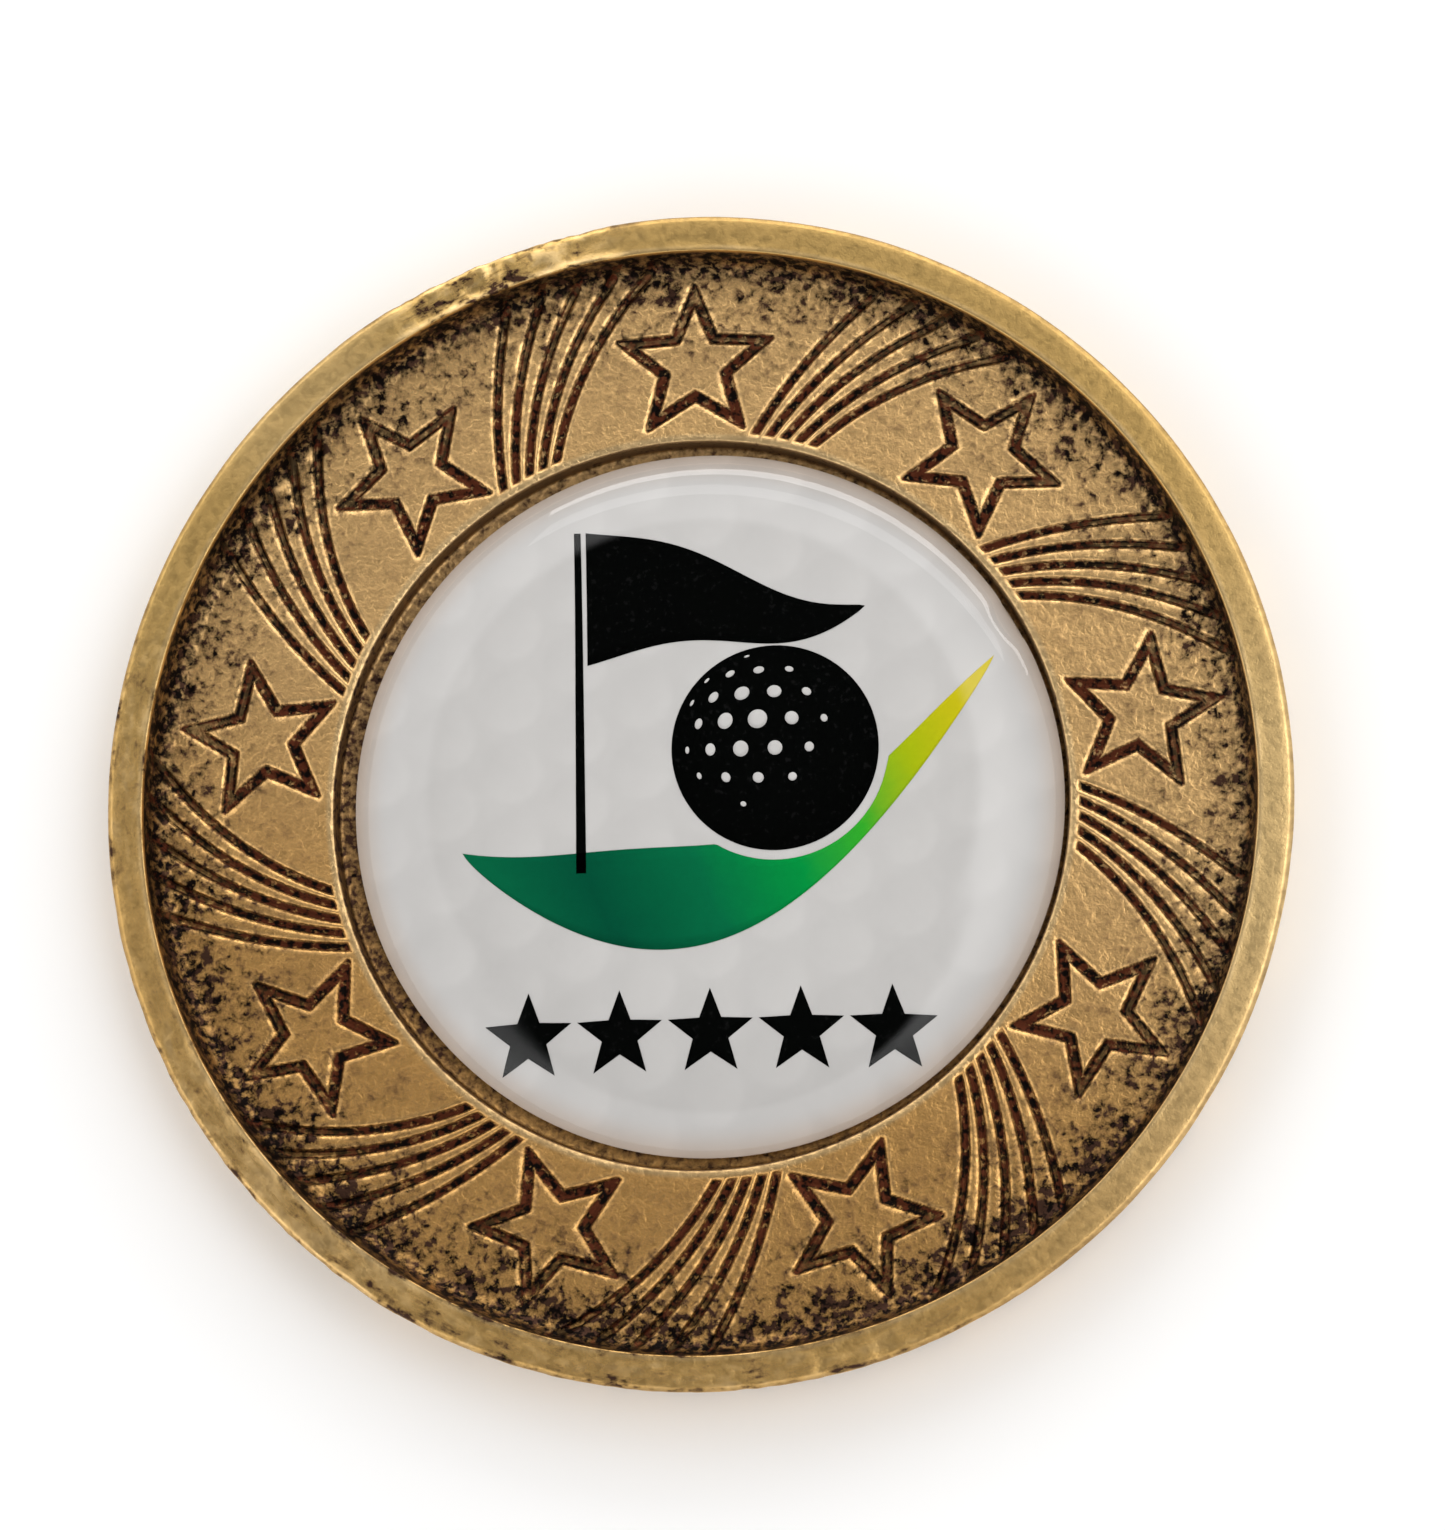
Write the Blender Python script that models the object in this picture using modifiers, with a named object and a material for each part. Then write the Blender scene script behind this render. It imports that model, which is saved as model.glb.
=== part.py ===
"""Golf ball marker: a cast metal disc with a starred border, and a domed label stuck in its recess.

The disc lies on its plain reverse with the printed face up (+Z) and one star at +Y.
The origin is the centre of the underside. Sizes are in metres, written as millimetres * MM.
"""

import math

import bmesh
import bpy
from mathutils import Matrix

MM = 0.001

# Disc, measured from its axis and from the surface it lies on
DISC_RADIUS = 20.0 * MM
DISC_THICKNESS = 3.0 * MM
RIM_INNER_RADIUS = 18.83 * MM
RIM_FOOT_RADIUS = 18.1 * MM
RIM_COVE_STEPS = 3
RIM_OUTER_BEVEL = 0.14 * MM
SIDE_LEAN = 0.42 * MM
RIM_INNER_BEVEL = 0.07 * MM
FIELD_HEIGHT_AT_RECESS = 1.7 * MM
FIELD_HEIGHT_AT_RIM = 1.6 * MM
RECESS_RADIUS = 12.44 * MM
RECESS_FLOOR_RADIUS = 12.36 * MM
RECESS_FLOOR_HEIGHT = 0.9 * MM
RECESS_EDGE_BEVEL = 0.06 * MM
REVERSE_BEVEL = 0.3 * MM
REVERSE_RIM_RADIUS = 18.3 * MM
REVERSE_FIELD_RADIUS = 18.0 * MM
REVERSE_FIELD_HEIGHT = 0.3 * MM
DISC_STEPS = 144

# Where the casting gate was cut off and filed flat, clockwise from +Y as seen from the front
GATE_BEARING = math.radians(-19.0)
GATE_FACET_DEPTH = 0.12 * MM

# Border: nine outlined stars, and nine bundles of curved grooves between them
STAR_COUNT = 9
STAR_POINTS = 5
STAR_CENTRE_RADIUS = 15.14 * MM
STAR_OUTER_TIP = 2.9 * MM
STAR_OUTER_VALLEY = 1.335 * MM
STAR_INNER_TIP = 1.97 * MM
STAR_INNER_VALLEY = 0.85 * MM
STAR_GROOVE_DEPTH = 0.2 * MM
STREAKS_PER_BUNDLE = 5
STREAK_START_RADIUS = 12.8 * MM
STREAK_END_RADIUS = 18.4 * MM
STREAK_HALF_WIDTH = 0.16 * MM
STREAK_POINTS = 8
STREAK_FIRST_BEARING = math.radians(8.5)
STREAK_BEARING_STEP = math.radians(2.2)
STREAK_SWEEP = math.radians(11.8)
STREAK_SWEEP_STEP = math.radians(1.9)
STREAK_CURL_STEP = math.radians(0.6)

# Domed label: adhesive, printed film and clear resin, a little off the disc's axis
LABEL_RADIUS = 12.0 * MM
LABEL_OFFSET_X = 0.26 * MM
LAYER_GAP = 0.05 * MM
ADHESIVE_THICKNESS = 0.1 * MM
FILM_THICKNESS = 0.15 * MM
DOME_THICKNESS = 1.45 * MM
DOME_LIP = 0.1 * MM
DOME_EDGE_LENGTH = 1.2 * MM
DOME_PROFILE_POINTS = 9
LABEL_STEPS = 72

SCREW_MERGE = 1e-6
WELD_DISTANCE = 1e-7


def clear_scene():
    """Remove every object of the scene, so that the script starts from nothing."""
    for obj in list(bpy.data.objects):
        bpy.data.objects.remove(obj, do_unlink=True)


def new_collection(name):
    collection = bpy.data.collections.new(name)
    bpy.context.scene.collection.children.link(collection)
    return collection


def new_material(name, colour, roughness, metallic=0.0, transmission=0.0):
    material = bpy.data.materials.new(name)
    material.use_nodes = True
    shader = material.node_tree.nodes["Principled BSDF"]
    shader.inputs["Base Color"].default_value = (*colour, 1.0)
    shader.inputs["Roughness"].default_value = roughness
    shader.inputs["Metallic"].default_value = metallic
    shader.inputs["Transmission Weight"].default_value = transmission
    material.diffuse_color = (*colour, 1.0)
    return material


def turned_object(name, profile, steps, collection, material, centre_x=0.0):
    """A solid of revolution about the vertical through centre_x.

    profile lists (radius, height) from the axis at the top, out, and down to the axis below.
    """
    mesh = bpy.data.meshes.new(name)
    points = [(radius, 0.0, height) for radius, height in profile]
    edges = [(i, i + 1) for i in range(len(points) - 1)]
    mesh.from_pydata(points, edges, [])
    mesh.materials.append(material)
    obj = bpy.data.objects.new(name, mesh)
    obj.location.x = centre_x
    collection.objects.link(obj)
    screw = obj.modifiers.new("Turn", "SCREW")
    screw.axis = "Z"
    screw.angle = 2.0 * math.pi
    screw.steps = steps
    screw.render_steps = steps
    screw.use_merge_vertices = True
    screw.merge_threshold = SCREW_MERGE
    screw.use_smooth_shade = True
    return obj


def field_height(radius):
    """Height of the sunk field, which falls evenly from the recess to the rim."""
    share = (radius - RECESS_RADIUS) / (RIM_FOOT_RADIUS - RECESS_RADIUS)
    return FIELD_HEIGHT_AT_RECESS + share * (FIELD_HEIGHT_AT_RIM - FIELD_HEIGHT_AT_RECESS)


def rim_cove():
    """Quarter of an ellipse that carries the field up to the rim's inner edge, without its ends."""
    across = RIM_INNER_RADIUS - RIM_INNER_BEVEL - RIM_FOOT_RADIUS
    up = DISC_THICKNESS - RIM_INNER_BEVEL - FIELD_HEIGHT_AT_RIM
    turns = [0.5 * math.pi * (i + 1) / (RIM_COVE_STEPS + 1) for i in range(RIM_COVE_STEPS)]
    return [
        (RIM_FOOT_RADIUS + across * math.sin(turn), FIELD_HEIGHT_AT_RIM + up * (1.0 - math.cos(turn)))
        for turn in turns
    ]


def disc_profile():
    """Recess, sloping field, standing rim, leaning side and sunk reverse, from top to bottom."""
    field_inner = RECESS_RADIUS + RECESS_EDGE_BEVEL
    side_foot = DISC_RADIUS - SIDE_LEAN
    return [
        (0.0, RECESS_FLOOR_HEIGHT),
        (RECESS_FLOOR_RADIUS, RECESS_FLOOR_HEIGHT),
        (RECESS_RADIUS, field_height(field_inner) - RECESS_EDGE_BEVEL),
        (field_inner, field_height(field_inner)),
        (RIM_FOOT_RADIUS, FIELD_HEIGHT_AT_RIM),
        *rim_cove(),
        (RIM_INNER_RADIUS - RIM_INNER_BEVEL, DISC_THICKNESS - RIM_INNER_BEVEL),
        (RIM_INNER_RADIUS, DISC_THICKNESS),
        (DISC_RADIUS - RIM_OUTER_BEVEL, DISC_THICKNESS),
        (DISC_RADIUS - 0.3 * RIM_OUTER_BEVEL, DISC_THICKNESS - 0.3 * RIM_OUTER_BEVEL),
        (DISC_RADIUS, DISC_THICKNESS - RIM_OUTER_BEVEL),
        (side_foot, REVERSE_BEVEL),
        (side_foot - REVERSE_BEVEL, 0.0),
        (REVERSE_RIM_RADIUS, 0.0),
        (REVERSE_FIELD_RADIUS, REVERSE_FIELD_HEIGHT),
        (0.0, REVERSE_FIELD_HEIGHT),
    ]


def closed_mesh_of(curve, name, collection):
    """The curve as a mesh cutter with its caps welded, in the curve's place; the curve is removed."""
    graph = bpy.context.evaluated_depsgraph_get()
    mesh = bpy.data.meshes.new_from_object(curve.evaluated_get(graph))
    welded = bmesh.new()
    welded.from_mesh(mesh)
    bmesh.ops.remove_doubles(welded, verts=welded.verts, dist=WELD_DISTANCE)
    bmesh.ops.recalc_face_normals(welded, faces=welded.faces)
    welded.to_mesh(mesh)
    welded.free()
    mesh.name = name
    cutter = bpy.data.objects.new(name, mesh)
    cutter.matrix_world = curve.matrix_world.copy()
    bpy.data.objects.remove(curve, do_unlink=True)
    add_cutter(cutter, collection)
    return cutter


def add_cutter(cutter, collection):
    cutter.hide_render = True
    cutter.display_type = "WIRE"
    collection.objects.link(cutter)


def star_outline(tip, valley):
    """Points of a five-pointed star with its first tip at +Y."""
    corners = 2 * STAR_POINTS
    radii = [valley if i % 2 else tip for i in range(corners)]
    return [
        (radius * math.sin(math.tau * i / corners), radius * math.cos(math.tau * i / corners))
        for i, radius in enumerate(radii)
    ]


def star_cutter(index, collection):
    """The ring between two star outlines, laid along the field's slope with one tip outward."""
    curve = bpy.data.curves.new("star_curve", "CURVE")
    curve.dimensions = "2D"
    curve.fill_mode = "BOTH"
    curve.extrude = STAR_GROOVE_DEPTH
    for tip, valley in ((STAR_OUTER_TIP, STAR_OUTER_VALLEY), (STAR_INNER_TIP, STAR_INNER_VALLEY)):
        outline = star_outline(tip, valley)
        spline = curve.splines.new("POLY")
        spline.points.add(len(outline) - 1)
        for point, (x, y) in zip(spline.points, outline):
            point.co = (x, y, 0.0, 1.0)
        spline.use_cyclic_u = True
    star = bpy.data.objects.new("star_curve", curve)
    collection.objects.link(star)
    fall = FIELD_HEIGHT_AT_RIM - FIELD_HEIGHT_AT_RECESS
    slope = math.atan2(fall, RIM_FOOT_RADIUS - RECESS_RADIUS)
    star.matrix_world = (
        Matrix.Rotation(-math.tau * index / STAR_COUNT, 4, "Z")
        @ Matrix.Translation((0.0, STAR_CENTRE_RADIUS, field_height(STAR_CENTRE_RADIUS)))
        @ Matrix.Rotation(slope, 4, "X")
    )
    bpy.context.view_layer.update()
    return closed_mesh_of(star, f"star_groove_{index}", collection)


def streak_bearing(order, share):
    """Bearing of a streak, clockwise from its star, at this share of the way out to the rim."""
    start = STREAK_FIRST_BEARING + order * STREAK_BEARING_STEP
    sweep = STREAK_SWEEP + order * STREAK_SWEEP_STEP
    curl = order * STREAK_CURL_STEP
    return start + sweep * share + curl * (share * share - share)


def streak_cutter(index, order, collection):
    """A four-sided bar along a streak: its lower edge cuts a V-shaped groove."""
    curve = bpy.data.curves.new("streak_curve", "CURVE")
    curve.dimensions = "3D"
    curve.twist_mode = "Z_UP"
    curve.bevel_depth = STREAK_HALF_WIDTH
    curve.bevel_resolution = 0
    curve.use_fill_caps = True
    spline = curve.splines.new("POLY")
    spline.points.add(STREAK_POINTS - 1)
    star_bearing = math.tau * index / STAR_COUNT
    for i, point in enumerate(spline.points):
        step = i / (STREAK_POINTS - 1)
        radius = STREAK_START_RADIUS + step * (STREAK_END_RADIUS - STREAK_START_RADIUS)
        share = (radius - RECESS_RADIUS) / (RIM_INNER_RADIUS - RECESS_RADIUS)
        bearing = star_bearing + streak_bearing(order, share)
        x = radius * math.sin(bearing)
        y = radius * math.cos(bearing)
        point.co = (x, y, field_height(radius), 1.0)
    streak = bpy.data.objects.new("streak_curve", curve)
    collection.objects.link(streak)
    bpy.context.view_layer.update()
    return closed_mesh_of(streak, f"streak_groove_{index}_{order}", collection)


def gate_cutter(collection):
    """A block whose inner face files the filed flat where the casting gate was."""
    size = 8.0 * MM
    block = bmesh.new()
    bmesh.ops.create_cube(block, size=size)
    mesh = bpy.data.meshes.new("gate_facet")
    block.to_mesh(mesh)
    block.free()
    cutter = bpy.data.objects.new("gate_facet", mesh)
    reach = DISC_RADIUS - GATE_FACET_DEPTH + 0.5 * size
    cutter.matrix_world = Matrix.Rotation(-GATE_BEARING, 4, "Z") @ Matrix.Translation((0.0, reach, 0.0))
    add_cutter(cutter, collection)


def cast_disc(parts, cutters):
    gold = new_material("antique_gold", (0.45, 0.29, 0.12), 0.36, metallic=1.0)
    disc = turned_object("cast_disc", disc_profile(), DISC_STEPS, parts, gold)
    gate_cutter(cutters)
    for index in range(STAR_COUNT):
        star_cutter(index, cutters)
        for order in range(STREAKS_PER_BUNDLE):
            streak_cutter(index, order, cutters)
    relief = disc.modifiers.new("Relief", "BOOLEAN")
    relief.operation = "DIFFERENCE"
    relief.operand_type = "COLLECTION"
    relief.collection = cutters
    relief.solver = "EXACT"
    return disc


def round_layer(name, bottom, thickness, material, parts):
    """A flat round layer of the label stack, from its underside up."""
    profile = [
        (0.0, bottom + thickness),
        (LABEL_RADIUS, bottom + thickness),
        (LABEL_RADIUS, bottom),
        (0.0, bottom),
    ]
    return turned_object(name, profile, LABEL_STEPS, parts, material, LABEL_OFFSET_X)


def dome_profile(bottom):
    """Flat underside and short lip, then a crown that is level inside and steep at the edge.

    The crown's height at radius r is h * (1 - cosh(r / l) / cosh(R / l)), the shape of a wide
    drop held at its edge, with h its height, R the label's radius and l the edge's length.
    """
    crown = DOME_THICKNESS - DOME_LIP
    rim = math.cosh(LABEL_RADIUS / DOME_EDGE_LENGTH)
    profile = []
    for i in range(DOME_PROFILE_POINTS):
        # Distances from the edge grow as a square, so the steep part gets most points
        inward = (1.0 - i / (DOME_PROFILE_POINTS - 1)) ** 2
        radius = LABEL_RADIUS * (1.0 - inward)
        rise = crown * (1.0 - math.cosh(radius / DOME_EDGE_LENGTH) / rim)
        profile.append((radius, bottom + DOME_LIP + rise))
    profile.append((LABEL_RADIUS, bottom))
    profile.append((0.0, bottom))
    return profile


def domed_label(parts):
    """Adhesive, printed film and resin dome, stacked in the recess with a small gap below each."""
    adhesive = new_material("adhesive", (0.78, 0.77, 0.72), 0.5)
    film = new_material("label_print", (0.62, 0.62, 0.61), 0.35)
    resin = new_material("clear_resin", (0.95, 0.95, 0.95), 0.04, transmission=1.0)
    bottom = RECESS_FLOOR_HEIGHT + LAYER_GAP
    round_layer("adhesive_pad", bottom, ADHESIVE_THICKNESS, adhesive, parts)
    bottom += ADHESIVE_THICKNESS + LAYER_GAP
    round_layer("printed_film", bottom, FILM_THICKNESS, film, parts)
    bottom += FILM_THICKNESS + LAYER_GAP
    turned_object(
        "resin_dome", dome_profile(bottom), LABEL_STEPS, parts, resin, LABEL_OFFSET_X
    )


clear_scene()
PARTS = new_collection("golf_ball_marker")
CUTTERS = new_collection("cutters")
cast_disc(PARTS, CUTTERS)
domed_label(PARTS)
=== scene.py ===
"""Golf ball marker: a cast antique gold disc with a starred border, and a domed printed label.

The disc lies on its reverse with the label up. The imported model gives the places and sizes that
both share, and every shape below is worked out in millimetres from the disc's axis, with +Z up
and one star at +Y. A bearing is an angle clockwise from +Y, seen from above.
"""

import logging
import math
from dataclasses import dataclass
from dataclasses import field
from enum import Enum
from typing import Callable
from typing import Dict
from typing import List
from typing import Optional
from typing import Sequence
from typing import Tuple
from typing import Union

import bpy
import numpy as np
from mathutils import Matrix
from mathutils import Vector


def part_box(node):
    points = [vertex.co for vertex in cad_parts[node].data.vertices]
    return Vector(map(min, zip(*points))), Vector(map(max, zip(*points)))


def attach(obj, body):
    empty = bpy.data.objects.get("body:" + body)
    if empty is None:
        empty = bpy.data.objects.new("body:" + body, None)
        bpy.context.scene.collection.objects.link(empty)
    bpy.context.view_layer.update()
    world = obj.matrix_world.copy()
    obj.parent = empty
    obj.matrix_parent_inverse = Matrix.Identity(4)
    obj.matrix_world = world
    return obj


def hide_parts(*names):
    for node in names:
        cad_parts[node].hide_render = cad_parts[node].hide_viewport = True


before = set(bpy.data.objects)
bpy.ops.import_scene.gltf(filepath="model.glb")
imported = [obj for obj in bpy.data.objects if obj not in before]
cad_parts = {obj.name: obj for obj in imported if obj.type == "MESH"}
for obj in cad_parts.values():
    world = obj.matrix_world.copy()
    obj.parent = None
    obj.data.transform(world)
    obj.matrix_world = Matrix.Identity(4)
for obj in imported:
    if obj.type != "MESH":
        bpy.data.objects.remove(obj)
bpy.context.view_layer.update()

LOG = logging.getLogger("golf_ball_marker")

METRES_PER_MM = 0.001
MM_PER_METRE = 1000.0
LABEL_CENTRE_X = 0.26
HALF_TIP_ANGLE = 36.0
NOISE_ROUGHNESS = 0.6

Array = np.ndarray
Pair = Tuple[float, float]
Ramp = Tuple[float, float, float, float]
Colour = Tuple[float, float, float]
Socket = bpy.types.NodeSocket
Value = Union[Socket, float, Tuple[float, ...]]
Faces = List[List[int]]


class Body(Enum):
    """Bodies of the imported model. Nothing on the marker moves, so it has only one."""

    ROOT = "root"


class Slot(Enum):
    """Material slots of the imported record."""

    GOLD = "antique_gold"
    ADHESIVE = "adhesive"
    WHITE = "label_white"
    RESIN = "clear_resin"
    BLACK = "black_ink"
    GREEN = "green_ink"


class Node(Enum):
    """CAD nodes that the fine pieces stand for."""

    DISC = "cast_disc"
    ADHESIVE = "adhesive_pad"
    FILM = "printed_film"
    DOME = "resin_dome"


def linear(red: int, green: int, blue: int) -> Colour:
    """Turn a display colour into linear light.

    Each channel c of 0 to 255 becomes ((c / 255 + 0.055) / 1.055) to the power 2.4.

    Args:
        red: Red, 0 to 255.
        green: Green, 0 to 255.
        blue: Blue, 0 to 255.

    Returns:
        The three linear channels, 0 to 1.
    """
    channels = [((c / 255.0 + 0.055) / 1.055) ** 2.4 for c in (red, green, blue)]
    return (channels[0], channels[1], channels[2])


def smooth_step(low: float, high: float, value: Array) -> Array:
    """Ease from 0 at low to 1 at high.

    With t the clamped share of the way from low to high, the result is t * t * (3 - 2 t).

    Args:
        low: Value that gives 0.
        high: Value that gives 1; it may be below low, which turns the ease round.
        value: Values to ease.

    Returns:
        An array of the same shape, 0 to 1.
    """
    share = np.clip((value - low) / (high - low), 0.0, 1.0)
    return share * share * (3.0 - 2.0 * share)


def wrapped(value: Array, low: float, high: float) -> Array:
    """Values carried back by whole turns of high - low until they lie between the two."""
    return low + np.mod(value - low, high - low)


def rolling_noise(x: Array, y: Array, cell: float, seed: int) -> Array:
    """Smooth seeded noise over a plane.

    A table of random heights stands on a square lattice of the given cell. Between its corners
    the height is blended by t * t * (3 - 2 t) along both directions.

    Args:
        x: First coordinates, millimetres.
        y: Second coordinates, millimetres.
        cell: Side of a lattice cell, millimetres.
        seed: Seed of the table.

    Returns:
        Noise of the same shape as x, between -1 and 1.
    """
    size = 128
    table = np.random.default_rng(seed).uniform(-1.0, 1.0, (size, size))
    column = np.floor(x / cell).astype(int)
    row = np.floor(y / cell).astype(int)
    across = x / cell - column
    along = y / cell - row
    across = across * across * (3.0 - 2.0 * across)
    along = along * along * (3.0 - 2.0 * along)
    near = table[row % size, column % size] * (1.0 - across)
    near = near + table[row % size, (column + 1) % size] * across
    far = table[(row + 1) % size, column % size] * (1.0 - across)
    far = far + table[(row + 1) % size, (column + 1) % size] * across
    return near * (1.0 - along) + far * along


@dataclass(frozen=True)
class Shape:
    """Vertices in millimetres and the faces that join them."""

    vertices: Array
    faces: Faces

    def moved(self, x: float, y: float) -> "Shape":
        """The same shape, shifted in the plane."""
        return Shape(self.vertices + np.array([x, y, 0.0]), self.faces)


def joined(shapes: Sequence[Shape]) -> Shape:
    """Put several shapes into one, as separate bodies.

    Args:
        shapes: The shapes, in order.

    Returns:
        One shape, whose faces are numbered on from shape to shape.
    """
    vertices = np.concatenate([shape.vertices for shape in shapes])
    faces: Faces = []
    start = 0
    for shape in shapes:
        faces.extend([corner + start for corner in face] for face in shape.faces)
        start += len(shape.vertices)
    return Shape(vertices, faces)


def turned_shape(rings: Array, first_pole: Array, last_pole: Array) -> Shape:
    """Close a stack of rings with a pole at each end.

    Vertex (i, j) of the grid is column j of ring i. Neighbouring rings are joined by quads that
    run round the whole turn, and each end ring is joined to its pole by triangles. Rings that
    run outward over the top, down the side and inward below, with columns going clockwise seen
    from above, give faces that point out.

    Args:
        rings: Places of shape (rings, columns, 3).
        first_pole: Point on the axis before the first ring.
        last_pole: Point on the axis after the last ring.

    Returns:
        The closed shape.
    """
    count, columns = rings.shape[:2]
    index = 1 + np.arange(count * columns).reshape(count, columns)
    after = np.roll(index, -1, axis=1)
    quads = np.stack([index[:-1], after[:-1], after[1:], index[1:]], axis=-1).reshape(-1, 4)
    first = np.stack([np.zeros(columns, int), after[0], index[0]], axis=-1)
    end = 1 + count * columns
    last = np.stack([np.full(columns, end), index[-1], after[-1]], axis=-1)
    vertices = np.concatenate([first_pole[None, :], rings.reshape(-1, 3), last_pole[None, :]])
    return Shape(vertices, quads.tolist() + first.tolist() + last.tolist())


def turned_from_profile(profile: Sequence[Tuple[float, float]], columns: int) -> Shape:
    """Carry a profile round the axis.

    At radius r, height z and bearing b the surface is (r sin b, r cos b, z). The first and last
    points of the profile lie on the axis and become the poles.

    Args:
        profile: (radius, height) pairs, from the axis above to the axis below.
        columns: Number of bearings.

    Returns:
        The closed shape.
    """
    points = np.array(profile)
    bearing = np.linspace(0.0, 2.0 * math.pi, columns, endpoint=False)[None, :]
    radius = points[1:-1, :1]
    height = np.broadcast_to(points[1:-1, 1:], (len(points) - 2, columns))
    rings = np.stack([radius * np.sin(bearing), radius * np.cos(bearing), height], axis=-1)
    return turned_shape(rings, np.array([0.0, 0.0, points[0, 1]]), np.array([0.0, 0.0, points[-1, 1]]))


def plate_shape(x: Array, y: Array, low: float, high: float) -> Shape:
    """Give thickness to a flat patch.

    The patch is a grid of places (x, y), whose rows run along +X and columns along +Y on the
    whole. It is laid once at each height, and a wall of quads joins the two outlines.

    Args:
        x: First coordinates of shape (rows, columns).
        y: Second coordinates of the same shape.
        low: Height of the underside.
        high: Height of the top.

    Returns:
        The closed shape.
    """
    rows, columns = x.shape
    index = np.arange(rows * columns).reshape(rows, columns)
    top = np.stack([index[:-1, :-1], index[1:, :-1], index[1:, 1:], index[:-1, 1:]], axis=-1)
    top = top.reshape(-1, 4)
    under = top[:, ::-1] + rows * columns
    around = np.concatenate([index[:, 0], index[-1, 1:], index[-2::-1, -1], index[0, -2:0:-1]])
    onward = np.roll(around, -1)
    below = rows * columns
    wall = np.stack([around, around + below, onward + below, onward], axis=-1)
    flat = np.stack([x.ravel(), y.ravel()], axis=-1)
    upper = np.column_stack([flat, np.full(len(flat), high)])
    lower = np.column_stack([flat, np.full(len(flat), low)])
    return Shape(np.concatenate([upper, lower]), top.tolist() + under.tolist() + wall.tolist())


def outline_shape(radius: Callable[[Array], Array], columns: int, low: float, high: float) -> Shape:
    """Give thickness to a flat shape whose outline is a radius for each bearing.

    At share v and bearing b the patch is at v * radius(b), in the direction (sin b, cos b).

    Args:
        radius: Radius of the outline for an array of bearings in radians.
        columns: Number of bearings.
        low: Height of the underside.
        high: Height of the top.

    Returns:
        The closed shape.
    """
    bearing = np.linspace(0.0, 2.0 * math.pi, columns, endpoint=False)
    reach = radius(bearing)
    rings = [
        np.stack([v * reach * np.sin(bearing), v * reach * np.cos(bearing), np.full(columns, z)], axis=-1)
        for v, z in ((0.5, high), (1.0, high), (1.0, low), (0.5, low))
    ]
    return turned_shape(np.stack(rings), np.array([0.0, 0.0, high]), np.array([0.0, 0.0, low]))


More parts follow.
